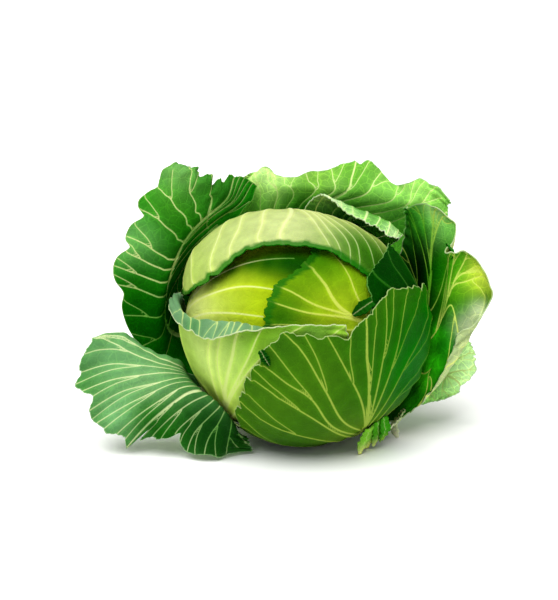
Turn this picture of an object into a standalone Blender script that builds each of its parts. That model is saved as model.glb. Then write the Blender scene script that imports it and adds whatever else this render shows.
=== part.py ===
"""A head of cabbage: one dense heart with its cut stalk, and eleven leaves wrapped round it.

Every leaf is a thin sheet laid over a cage of a few points. A point is given as a
grower would point at it: its azimuth round the stalk, its angle from the stalk, and
its lift off the heart's surface. Sizes are in millimetres and angles in degrees; the
mesh itself is in metres, +Z up, with the origin at the middle of the flat rest spot.
"""
import math

import bmesh
import bpy
import numpy as np
from mathutils import Vector

MM = 0.001

# Driving sizes of the heart, in mm: half its width, depth and height.
HEART_HALF = np.array([86.0, 82.0, 79.0])
# The stalk points backwards and this many degrees below level.
STALK_DROP = 42.0
STALK_RADIUS = 19.0
STALK_LIFT = 24.0
# The blade's thickness, the gap kept between pieces, and the height of the heart's centre.
BLADE = 1.0
GAP = 0.4
REST_HEIGHT = 87.3
# Leaves other than the one that carries the head stay this far above the floor.
FLOOR_CLEARANCE = 0.4
# Vertices of the resting blade's face this low are brought level with the floor.
FLAT_BAND = 0.3

HEART_SEGMENTS = 32
HEART_RINGS = 20
# The share of a leaf, in from its margin, over which the waves die out.
WAVE_REACH = 0.3

CENTRE = np.array([0.0, 0.0, REST_HEIGHT])
STALK_WAY = np.array([0.0, math.cos(math.radians(STALK_DROP)), -math.sin(math.radians(STALK_DROP))])
TO_RIGHT = np.array([1.0, 0.0, 0.0])
TO_FRONT = np.cross(STALK_WAY, TO_RIGHT)

# A leaf's lines run from near the foot to the margin, from its left side to its right as
# seen from the front. Azimuth 0 is right, 90 front and below, 180 left, 270 back and above.
# foot: first and last azimuth at the stalk, and lift. waves: count across, count along,
# height. cut: how deep the margin is scalloped at the tip and at the sides, as a share of
# the leaf, and how many times.
LEAVES = {
    "leaf_heart_right": dict(
        foot=(50, 10, 3.0), cells=(12, 14), waves=(2.0, 0.0, 0.0), cut=(0.015, 0.02, 5), colour="a9bf3f",
        lines=[
            [(60, 45, 3), (68, 78, 3), (75, 108, 3), (86, 130, 3), (104, 142, 3), (119, 141, 3)],
            [(42, 48, 3), (44, 84, 3), (47, 118, 3), (58, 142, 3), (92, 154, 3), (129, 150, 4)],
            [(28, 50, 3), (26, 86, 3), (25, 120, 3), (28, 148, 3), (68, 168, 3), (153, 164, 4.5)],
            [(14, 48, 3), (8, 84, 3), (4, 116, 3), (2, 144, 3), (348, 164, 3), (272, 175, 4.5)],
            [(0, 44, 3), (350, 74, 3), (344, 104, 3), (340, 130, 3), (325, 150, 3), (287, 157, 3)],
        ]),
    "leaf_crown": dict(
        foot=(240, 288, 4.8), cells=(16, 14), waves=(3.0, 0.0, 0.8), cut=(0.02, 0.0, 7), colour="c3d389",
        lines=[
            [(222, 42, 4.8), (206, 68, 4.8), (199, 86, 4.8),
             (194, 97, 4.6), (189, 107, 4.6), (186, 115, 5)],
            [(234, 45, 6), (220, 74, 12), (211, 100, 14), (203, 117, 11), (192, 126, 8), (184, 134, 8)],
            [(247, 46, 6), (240, 80, 13), (236, 112, 14), (229, 134, 10), (214, 143, 8), (203, 150, 10)],
            [(262, 48, 5), (262, 84, 8), (262, 120, 9), (257, 145, 8), (243, 155, 7), (231, 162, 10)],
            [(277, 48, 5), (283, 86, 5), (288, 122, 6), (293, 146, 6), (300, 159, 7), (302, 166, 10)],
            [(292, 46, 5), (304, 80, 5), (314, 108, 5), (323, 132, 5), (334, 149, 6), (340, 159, 8)],
            [(306, 42, 5), (322, 68, 5), (334, 94, 5), (342, 114, 5), (350, 131, 5), (358, 146, 5.5)],
        ]),
    "leaf_front_left": dict(
        foot=(155, 106, 6.2), cells=(14, 18), waves=(3.0, 0.0, 0.8), cut=(0.02, 0.0, 6), colour="9fbf63",
        lines=[
            [(172, 40, 4), (187, 65, 2.6), (195, 82, 5), (196, 92, 7.5), (192, 99, 10), (187, 99, 13)],
            [(156, 40, 4), (167, 68, 2.2), (173, 90, 3), (175, 106, 6), (170, 120, 9.5), (161, 121, 15)],
            [(146, 42, 4), (153, 74, 2.2), (156, 100, 2.6),
             (158, 121, 5.5), (154, 136, 10.5), (146, 132, 15)],
            [(134, 44, 4), (138, 78, 2.6), (141, 106, 3), (143, 130, 6), (142, 144, 10), (138, 143, 14)],
            [(120, 46, 4.5), (118, 82, 4.2), (117, 112, 4.6),
             (117, 136, 5.8), (117, 149, 7.8), (115, 154, 10)],
            [(106, 46, 5.4), (98, 80, 5.4), (91, 110, 5.6), (86, 134, 6.2), (83, 149, 7), (80, 155, 9)],
            [(94, 44, 6.2), (80, 72, 6.2), (68, 100, 6.2), (60, 125, 6.2), (54, 141, 6.4), (50, 149, 7)],
        ]),
    "leaf_head_right": dict(
        foot=(25, 342, 7.2), cells=(8, 14), waves=(2.0, 0.0, 0.4), cut=(0.015, 0.02, 4), colour="2f6b22",
        lines=[
            [(28, 45, 7.2), (30, 78, 7.2), (31, 105, 7.2), (31, 126, 7.2), (32, 142, 7.4)],
            [(12, 46, 7.2), (12, 82, 7.2), (14, 112, 7.2), (16, 132, 7.2), (18, 146, 7.6)],
            [(358, 46, 7.2), (356, 82, 7.2), (355, 112, 7.2), (356, 134, 7.4), (1, 150, 8.4)],
            [(344, 46, 7.2), (341, 78, 7.2), (340, 104, 7.2), (340, 124, 7.4), (341, 140, 8.4)],
            [(332, 44, 7.2), (328, 68, 7.2), (326, 90, 7.2), (325, 105, 7.2), (323, 117, 7.8)],
        ]),
    "leaf_front_right": dict(
        foot=(104, 42, 9.0), cells=(18, 16), waves=(4.0, 0.0, 0.8), cut=(0.025, 0.0, 10), colour="5f8a2c",
        lines=[
            [(111, 34, 9), (116, 46, 8), (120, 56, 7), (123, 64, 6.4), (126, 72, 6.4)],
            [(102, 38, 9), (107, 54, 8.6), (112, 68, 7.6), (117, 80, 6.8), (123, 92, 7)],
            [(94, 42, 9), (99, 64, 9), (106, 84, 8.4), (113, 99, 7.8), (121, 112, 8.4)],
            [(84, 44, 9), (89, 74, 9), (96, 100, 8.8), (105, 118, 8.8), (115, 131, 9.6)],
            [(72, 46, 9), (76, 82, 9), (82, 112, 9), (91, 134, 9), (101, 150, 10.4)],
            [(60, 46, 9), (60, 80, 9), (60, 108, 9), (58, 130, 9), (55, 146, 9.6)],
            [(50, 46, 9), (47, 78, 9), (39, 102, 9), (26, 122, 9.5), (7, 141, 11)],
            [(44, 44, 9), (43, 64, 9), (31, 80, 10), (9, 91, 11), (345, 103, 12)],
        ]),
    "leaf_top_folded": dict(
        foot=(276, 312, 11.0), cells=(12, 18), waves=(2.0, 0.0, 0.8), cut=(0.03, 0.0, 5), colour="4f8f3a",
        lines=[
            [(274, 45, 11), (272, 76, 12), (272, 96, 14), (275, 104, 19), (279, 109, 22), (282, 113, 21)],
            [(281, 45, 11), (280, 76, 12), (280, 96, 14), (285, 103, 20), (287, 110, 20), (289, 117, 14)],
            [(289, 46, 11), (287, 78, 12), (288, 96, 14), (295, 102, 20), (297, 109, 18), (300, 118, 11)],
            [(297, 46, 11), (296, 78, 12), (297, 94, 15), (303, 99, 22), (307, 106, 20), (311, 117, 10)],
            [(304, 45, 11), (304, 74, 12), (305, 88, 15), (310, 94, 24), (314, 104, 22), (320, 113, 12)],
            [(311, 42, 11), (311, 66, 12), (311, 80, 15), (315, 88, 24), (318, 98, 23), (321, 106, 17)],
        ]),
    "leaf_left": dict(
        foot=(180, 220, 13.0), cells=(14, 22), waves=(0.5, 5.0, 3.0),
        cut=(0.05, 0.14, 5), colour="2f7a2a",
        lines=[
            [(174, 44, 20), (169, 68, 27), (177, 81, 38), (191, 97, 57), (202, 102, 64), (214, 105, 69),
             (226, 105, 77), (234, 103, 76)],
            [(184, 45, 18), (174, 68, 23), (179, 82, 29), (193, 96, 39), (206, 103, 44), (219, 105, 50),
             (230, 104, 57), (238, 103, 64)],
            [(195, 46, 17), (180, 68, 20), (182, 82, 20), (194, 94, 21), (210, 99, 25), (225, 101, 31),
             (237, 99, 41), (243, 101, 53)],
            [(206, 46, 16), (193, 68, 17), (191, 81, 18), (202, 90, 19), (218, 95, 22), (231, 96, 27),
             (242, 96, 35), (247, 98, 47)],
            [(217, 46, 16), (207, 68, 17), (206, 78, 18), (214, 86, 20), (225, 93, 21), (237, 92, 26),
             (246, 93, 32), (251, 95, 43)],
            [(228, 44, 16), (222, 66, 17), (221, 74, 18), (226, 82, 20), (234, 88, 21), (242, 90, 23),
             (249, 90, 31), (253, 91, 39)],
        ]),
    "leaf_right": dict(
        foot=(318, 19, 13.6), cells=(20, 18), waves=(4.5, 0.0, 2.0), cut=(0.05, 0.03, 8), colour="2c7326",
        lines=[
            [(318, 42, 15), (318, 66, 19), (317, 79, 25), (314, 87, 34), (311, 91, 42), (309, 93, 46)],
            [(330, 43, 14), (331, 70, 17), (328, 82, 23), (321, 89, 33), (314, 94, 42), (311, 96, 46)],
            [(342, 43, 14), (344, 74, 15), (339, 86, 20), (328, 93, 33), (319, 98, 48), (316, 101, 52)],
            [(353, 43, 14), (357, 73, 15), (348, 87, 21), (336, 95, 36), (329, 101, 54), (328, 103, 57)],
            [(4, 43, 14), (8, 71, 16), (354, 87, 22), (345, 94, 29), (338, 99, 38), (336, 104, 38)],
            [(13, 43, 15), (19, 68, 18), (359, 87, 23), (348, 95, 34), (341, 101, 49), (339, 104, 51)],
            [(22, 42, 17), (28, 60, 19), (17, 75, 20), (5, 86, 30), (353, 95, 56), (354, 101, 53)],
            [(31, 41, 18), (38, 56, 21), (35, 66, 22), (27, 73, 24), (16, 81, 28), (8, 89, 30)],
        ]),
    "leaf_right_low": dict(
        foot=(352, 22, 19.0), cells=(10, 14), waves=(1.5, 1.0, 2.0), cut=(0.06, 0.05, 3), colour="7fae6a",
        lines=[
            [(356, 40, 23), (359, 55, 26), (355, 65, 30), (355, 72, 40), (356, 75, 51)],
            [(6, 40, 23), (10, 54, 27), (3, 64, 33), (1, 70, 46), (2, 71, 61)],
            [(17, 40, 23), (20, 53, 27), (12, 62, 32), (9, 67, 45), (8, 69, 60)],
            [(28, 40, 23), (31, 50, 26), (25, 58, 28), (20, 63, 38), (16, 66, 49)],
        ]),
    "leaf_back": dict(
        foot=(236, 297, 16.0), cells=(22, 14), waves=(5.0, 0.0, 3.0),
        cut=(0.05, 0.03, 6), colour="3f8a34",
        lines=[
            [(228, 42, 20), (226, 64, 27), (234, 78, 38), (244, 86, 48), (250, 90, 55), (254, 92, 63)],
            [(240, 42, 20), (239, 66, 26), (246, 80, 35), (254, 88, 45), (257, 91, 53), (260, 92, 64)],
            [(252, 42, 20), (252, 68, 25), (257, 82, 32), (266, 90, 40), (267, 90, 45), (269, 90, 52)],
            [(264, 42, 20), (265, 69, 25), (269, 84, 30), (280, 91, 39), (281, 91, 50), (281, 91, 63)],
            [(276, 42, 20), (279, 69, 25), (283, 84, 31), (293, 91, 43), (292, 92, 57), (290, 92, 75)],
            [(288, 42, 20), (294, 68, 26), (297, 82, 35), (306, 90, 49), (304, 91, 59), (302, 92, 68)],
            [(300, 42, 20), (308, 66, 28), (310, 80, 43), (312, 90, 58), (310, 92, 67), (308, 94, 76)],
            [(311, 42, 21), (321, 64, 31), (321, 78, 49), (321, 87, 63), (319, 90, 71), (318, 92, 77)],
        ]),
    "leaf_left_low": dict(
        foot=(176, 146, 15.0), cells=(24, 16), waves=(5.0, 0.0, 2.5), cut=(0.05, 0.0, 5), colour="3d8446",
        lines=[
            [(174, 46, 16), (174, 68, 14), (172, 82, 10), (170, 88, 9),
             (174, 90, 22), (176, 92, 42), (174, 92, 75)],
            [(171, 46, 16), (170, 68, 12), (167, 80, 7), (165, 90, 8.5),
             (168, 93, 25), (170, 92, 52), (169, 90, 84)],
            [(168, 45, 16), (166, 67, 11), (162, 78, 6), (160, 93, 8.5),
             (162, 95, 26), (163, 92, 56), (163, 88, 87)],
            [(165, 44, 16), (162, 66, 10), (157, 76, 5.5), (153, 98, 8.5),
             (156, 96, 24), (158, 91, 52), (157, 86, 85)],
            [(162, 43, 16), (158, 64, 10), (152, 75, 5.5), (146, 101, 8.5),
             (149, 98, 22), (152, 91, 47), (153, 84, 84)],
            [(160, 42, 16), (154, 62, 10), (147, 75, 5.5), (140, 103, 8.5),
             (143, 99, 20), (146, 91, 42), (147, 79, 78)],
            [(158, 41, 16), (151, 60, 10), (143, 73, 5.5), (135, 103, 8.5),
             (137, 98, 19), (141, 90, 35), (144, 80, 59)],
            [(156, 40, 16), (147, 58, 10), (138, 71, 6), (130, 101, 9),
             (132, 96, 18), (136, 89, 31), (138, 83, 45)],
            [(154, 39, 16), (143, 56, 11), (133, 69, 7.5), (126, 96, 9),
             (127, 92, 17), (129, 87, 29), (129, 81, 43)],
            [(152, 38, 16), (139, 54, 12), (128, 67, 9.5), (122, 88, 9.5),
             (121, 85, 16), (121, 82, 23), (121, 78, 31)],
            [(150, 37, 16), (135, 52, 13), (122, 63, 12), (117, 74, 10.5),
             (115, 74, 13), (113, 73, 16), (112, 72, 19)],
        ]),
}


def clear_scene():
    """Remove what a new file holds."""
    for item in list(bpy.data.objects):
        bpy.data.objects.remove(item)


def place(azimuth, angle, lift):
    """The point at an azimuth round the stalk, an angle from it and a lift off the heart, in mm."""
    turn = math.radians(azimuth)
    away = math.radians(angle)
    sideways = math.cos(turn) * TO_RIGHT + math.sin(turn) * TO_FRONT
    way = math.cos(away) * STALK_WAY + math.sin(away) * sideways
    return way / np.linalg.norm(way / (HEART_HALF + lift))


def foot_angle(lift):
    """The angle from the stalk at which a leaf with this lift meets the stalk's side."""
    reach = np.linalg.norm(place(0, 0, lift))
    return math.degrees(math.asin((STALK_RADIUS + BLADE / 2 + GAP) / reach))


def cage_of(leaf):
    """The leaf's cage: an array of lines from foot to margin, each of unit way and reach."""
    first, last, lift = leaf["foot"]
    sweep = (last - first + 180) % 360 - 180
    angle = foot_angle(lift)
    cage = []
    for number, line in enumerate(leaf["lines"]):
        share = number / (len(leaf["lines"]) - 1)
        points = [place(first + share * sweep, angle, lift)]
        points += [place(*point) for point in line]
        cage.append(points)
    cage = np.array(cage)
    reach = np.linalg.norm(cage, axis=2, keepdims=True)
    return np.concatenate([cage / reach, reach], axis=2)


def along_curve(points, share):
    """The point at a share of a smooth curve through the first axis of points."""
    last = len(points) - 1
    spot = min(max(share, 0.0) * last, last - 1e-9)
    start = int(spot)
    t = spot - start
    b = points[start]
    c = points[start + 1]
    a = points[start - 1] if start > 0 else 2 * b - c
    d = points[start + 2] if start + 2 <= last else 2 * c - b
    curve = 2 * b + (c - a) * t + (2 * a - 5 * b + 4 * c - d) * t**2 + (3 * b - a - 3 * c + d) * t**3
    return curve / 2


def on_cage(cage, across, along):
    """The sheet's point, from the heart's centre, at shares across and along the cage."""
    line = along_curve(cage, across)
    mixed = along_curve(line, along)
    return mixed[:3] / np.linalg.norm(mixed[:3]) * mixed[3]


def scallop(share, count):
    """How far the margin is cut back at a share of its run: 0 to 1, and never quite regular."""
    turn = 2 * math.pi * share
    return 0.5 + 0.3 * math.sin(count * turn) + 0.2 * math.sin(1.7 * count * turn + 1.0)


def wave_strength(across, along):
    """0 inside the leaf and at its foot, 1 at its free margin."""
    side = max(0.0, 1 - min(across, 1 - across) / WAVE_REACH) ** 2
    tip = max(0.0, 1 - (1 - along) / WAVE_REACH) ** 2
    free = min(1.0, max(0.0, (along - 0.3) / 0.4))
    return (side + tip - side * tip) * free


def leaf_point(leaf, cage, across, along):
    """The middle of the blade at shares across and along the leaf, in mm from the heart's centre."""
    tip_cut, side_cut, count = leaf["cut"]
    u = 0.5 + (across - 0.5) * (1 - side_cut * scallop(along, count) * along)
    v = along * (1 - tip_cut * scallop(across, count))
    step = 0.01
    point = on_cage(cage, u, v)
    ahead = on_cage(cage, u, min(v + step, 1.0)) - on_cage(cage, u, max(v - step, 0.0))
    aside = on_cage(cage, min(u + step, 1.0), v) - on_cage(cage, max(u - step, 0.0), v)
    normal = np.cross(ahead, aside)
    normal = normal / np.linalg.norm(normal)
    waves_across, waves_along, height = leaf["waves"]
    phase = 2 * math.pi * (waves_across * across + waves_along * along)
    return point + normal * height * wave_strength(across, along) * math.sin(phase)


def to_linear(hex_colour):
    """A colour written as sRGB hex, as the linear values that a shader takes."""
    channels = [int(hex_colour[i:i + 2], 16) / 255 for i in (0, 2, 4)]
    return [c / 12.92 if c <= 0.04045 else ((c + 0.055) / 1.055) ** 2.4 for c in channels]


def leaf_material(name, hex_colour, roughness):
    """Waxy leaf skin in one colour."""
    material = bpy.data.materials.new(name)
    material.use_nodes = True
    shader = material.node_tree.nodes["Principled BSDF"]
    shader.inputs["Base Color"].default_value = (*to_linear(hex_colour), 1.0)
    shader.inputs["Roughness"].default_value = roughness
    shader.inputs["Metallic"].default_value = 0.0
    return material


def keep(item, name, collection, material):
    """Name an object, give it its material and put it in the part's collection."""
    item.name = name
    item.data.name = name
    item.data.materials.append(material)
    for other in list(item.users_collection):
        other.objects.unlink(item)
    collection.objects.link(item)
    return item


def make_leaf(name, leaf, collection):
    """One leaf: a grid laid over its cage, split into triangles and then given its thickness."""
    carries = name == "leaf_front_right"
    lowest = BLADE / 2 if carries else BLADE / 2 + FLOOR_CLEARANCE
    columns, rows = leaf["cells"]
    bpy.ops.mesh.primitive_grid_add(x_subdivisions=columns, y_subdivisions=rows, size=1)
    sheet = bpy.context.active_object
    cage = cage_of(leaf)
    for vertex in sheet.data.vertices:
        point = CENTRE + leaf_point(leaf, cage, vertex.co.x + 0.5, vertex.co.y + 0.5)
        point[2] = max(point[2], lowest)
        vertex.co = Vector(point) * MM
    split = sheet.modifiers.new("Split", "TRIANGULATE")
    split.quad_method = "FIXED"
    blade = sheet.modifiers.new("Blade", "SOLIDIFY")
    blade.thickness = BLADE * MM
    blade.offset = 0
    rim = sheet.modifiers.new("Rim", "TRIANGULATE")
    rim.quad_method = "FIXED"
    keep(sheet, name, collection, leaf_material(name, leaf["colour"], 0.45))
    if carries:
        flatten_rest_spot(sheet)
    return sheet


def flatten_rest_spot(sheet):
    """Apply the blade's modifiers and level the few vertices that the head rests on."""
    bpy.context.view_layer.objects.active = sheet
    for modifier in list(sheet.modifiers):
        bpy.ops.object.modifier_apply(modifier=modifier.name)
    for vertex in sheet.data.vertices:
        if vertex.co.z < FLAT_BAND * MM:
            vertex.co.z = 0.0


def heart_point(azimuth, ring):
    """A point of the heart's skin: ring 0 is the middle of the stalk's cut end, the last the apex."""
    turn = math.radians(azimuth)
    sideways = math.cos(turn) * TO_RIGHT + math.sin(turn) * TO_FRONT
    cut_end = STALK_WAY * np.linalg.norm(place(0, 0, STALK_LIFT))
    foot = math.degrees(math.asin(STALK_RADIUS / np.linalg.norm(place(0, 0, 0))))
    if ring == 0:
        return cut_end
    if ring == 1:
        return cut_end + STALK_RADIUS * sideways
    share = (ring - 2) / (HEART_RINGS - 2)
    return place(azimuth, foot + share * (180 - foot), 0)


def make_heart(collection):
    """The dense heart and its cut stalk, grown as one piece: a sphere whose first rings are the stalk."""
    bpy.ops.mesh.primitive_uv_sphere_add(segments=HEART_SEGMENTS, ring_count=HEART_RINGS, radius=1)
    heart = bpy.context.active_object
    for vertex in heart.data.vertices:
        polar = math.degrees(math.acos(max(-1.0, min(1.0, vertex.co.z))))
        azimuth = math.degrees(math.atan2(vertex.co.y, vertex.co.x))
        point = CENTRE + heart_point(azimuth, round(polar * HEART_RINGS / 180))
        vertex.co = Vector(point) * MM
    mesh = bmesh.new()
    mesh.from_mesh(heart.data)
    bmesh.ops.recalc_face_normals(mesh, faces=mesh.faces)
    mesh.to_mesh(heart.data)
    mesh.free()
    split = heart.modifiers.new("Split", "TRIANGULATE")
    split.quad_method = "FIXED"
    return keep(heart, "heart", collection, leaf_material("heart", "b5c43a", 0.4))


def main():
    clear_scene()
    part = bpy.data.collections.new("cabbage_head")
    bpy.context.scene.collection.children.link(part)
    make_heart(part)
    for name, leaf in LEAVES.items():
        make_leaf(name, leaf, part)


main()
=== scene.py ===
"""The looks of a head of white cabbage: veined, waxy leaves with ragged margins, and the heart.

Each leaf is a fine sheet laid over the same cage of points as its plain solid, so it keeps
the solid's form. The veins are drawn over the sheet as lines in shares of the leaf, and
everything else follows from them: the ribs, the blade puffed up between them, and colours.
Sizes are in millimetres and angles in degrees until a mesh is made, which is in metres.
"""
import math

import bpy
import numpy as np
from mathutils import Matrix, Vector, kdtree

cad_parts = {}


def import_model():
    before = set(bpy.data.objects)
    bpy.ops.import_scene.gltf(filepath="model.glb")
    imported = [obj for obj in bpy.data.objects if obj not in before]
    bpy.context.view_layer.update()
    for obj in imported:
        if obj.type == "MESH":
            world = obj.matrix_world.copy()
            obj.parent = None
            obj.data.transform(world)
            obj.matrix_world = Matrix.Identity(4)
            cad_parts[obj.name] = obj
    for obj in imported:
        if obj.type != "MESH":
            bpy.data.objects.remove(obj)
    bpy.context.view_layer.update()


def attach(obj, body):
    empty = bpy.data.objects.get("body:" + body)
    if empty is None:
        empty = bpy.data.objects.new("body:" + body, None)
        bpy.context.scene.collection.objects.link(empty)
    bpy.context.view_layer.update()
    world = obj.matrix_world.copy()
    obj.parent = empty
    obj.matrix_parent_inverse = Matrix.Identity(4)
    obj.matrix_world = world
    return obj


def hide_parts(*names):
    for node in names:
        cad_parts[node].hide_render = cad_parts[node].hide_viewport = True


MM = 0.001
SEED = 7

# The heart's half width, depth and height, its stalk, and the height of its centre.
HEART_HALF = np.array([86.0, 82.0, 79.0])
STALK_DROP = 42.0
STALK_RADIUS = 19.0
STALK_LIFT = 24.0
REST_HEIGHT = 87.3
# Shares of the heart's rings that make the stalk's cut face, and the stalk as a whole.
CUT_FACE_SHARE = 0.06
STALK_SHARE = 0.1
# The heart's skin lies this far under the first leaves.
HEART_SUNK = 0.3

# Thickness of a blade, and the gap that its foot keeps from the stalk.
BLADE = 0.8
FOOT_GAP = 0.9
# No leaf but the one that carries the head comes nearer to the floor than this.
FLOOR_CLEARANCE = 0.4
CARRYING_LEAF = "leaf_front_right"

# Waves of a margin: how far in from it they reach, and where along the leaf they set in.
WAVE_REACH = 0.3
WAVES_FROM = 0.3
WAVES_OVER = 0.4
# Ruffles along a side margin, and across the tip.
SIDE_RUFFLES = 9
TIP_RUFFLES = 10
# Where across the leaf a calm margin sets in.
CALM_FROM = 0.45
CALM_OVER = 0.25
# How steeply the teeth, notches and scallops of a margin fade into the blade.
TOOTH_FADE = 14
NOTCH_FADE = 6
SIDE_NOTCH_FADE = 5
SCALLOP_FADE = 7
SIDE_SCALLOP_FADE = 4
# Lobes of a margin, and the nicks in them.
LOBES = 20
NICKS = 70
NICK_DEPTH = 0.35
# Each uneven wave has its own draw, by number.
TIP_TEETH_DRAW = 1
SIDE_TEETH_DRAW = 2
SIDE_RUFFLE_DRAW = 3
TIP_RUFFLE_DRAW = 4
SHRED_EDGE_DRAW = 20
SHRED_BEND_DRAW = 21

# Half widths of the ribs at their start and end, and how far the thickest one stands out.
MIDRIB = (2.0, 0.6)
SIDE_VEIN = (0.75, 0.28)
FORK_VEIN = (0.34, 0.22)
HEART_VEIN = (1.1, 0.4)
SHRED_VEIN = 0.25
RIB_HEIGHT = 0.9
# How far a fork leans over to the next vein, as a share of the way, for the first fork on.
FORK_SPREAD = (0.5, 0.28)
# Points along a vein as it is laid out, and along its forks.
VEIN_POINTS = 240
MIDRIB_POINTS = 260
FORK_POINTS = 60
# A vein drawn to within these shares of a margin runs on until just short of it.
NEAR_TIP = 0.9
NEAR_SIDE = 0.08
VEIN_END = 0.996
# Beyond this a point no longer knows on which side of a vein, or how far from it, it lies.
SIDE_KNOWN = 6
VEIN_KNOWN = 12
MARGIN_KNOWN = 20.0
# The blade reaches its full puff this far from a vein, and this far from the margin.
PUFF_REACH = 7.0
PUFF_MARGIN = 6

# Cell widths of the net of small veins, and of the finest net within it.
NET_CELL = 7.0
FINE_NET_CELL = 2.6
# Widths of the drift that bends the net, the mottling, the clouds of bloom and the skin's grain.
DRIFT = 14
MOTTLE = 9
BLOOM_CLOUD = 35
GRAIN = 1.2
# How deep the net is creased into the skin.
CREASE = 0.25
# Colour of the bloom, a dull blue-green wax, and what painted deep shade leaves of a leaf's colour.
BLOOM = "b9d2bf"
PAINTED_SHADE_TINT = (0.10, 0.42, 0.06, 1.0)
# How much the sap by a vein lightens the blade, how far out, and in which hue.
GLOW = 0.28
GLOW_REACH = 3.5
SAP_HUE = (1.3, 1.0, 0.7)
# Roughness of the inner, more waxed face of a leaf, and of the outer one; of heart and shreds.
ROUGHNESS = {"inner": 0.42, "outer": 0.5}
HEART_ROUGHNESS = 0.4
SHRED_ROUGHNESS = 0.5

# Surroundings and lamp: strengths, how wide the lamp is seen, and which way it shines.
SURROUND_STRENGTH = 0.42
LAMP_STRENGTH = 4.2
LAMP_SPREAD = 55
LAMP_WAY = (0.18, 0.42, -1.0)
FLOOR_SIZE = 40
# The camera: how far it looks down, its lens, and where it stands from the heart's centre.
VIEW_DROP = 15
LENS = 85
VIEW_DISTANCE = 1055
VIEW_RIGHT = -15.6
VIEW_UP = 20.1

CENTRE = np.array([0.0, 0.0, REST_HEIGHT])
STALK_WAY = np.array([0.0, math.cos(math.radians(STALK_DROP)), -math.sin(math.radians(STALK_DROP))])
TO_RIGHT = np.array([1.0, 0.0, 0.0])
TO_FRONT = np.cross(STALK_WAY, TO_RIGHT)

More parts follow.
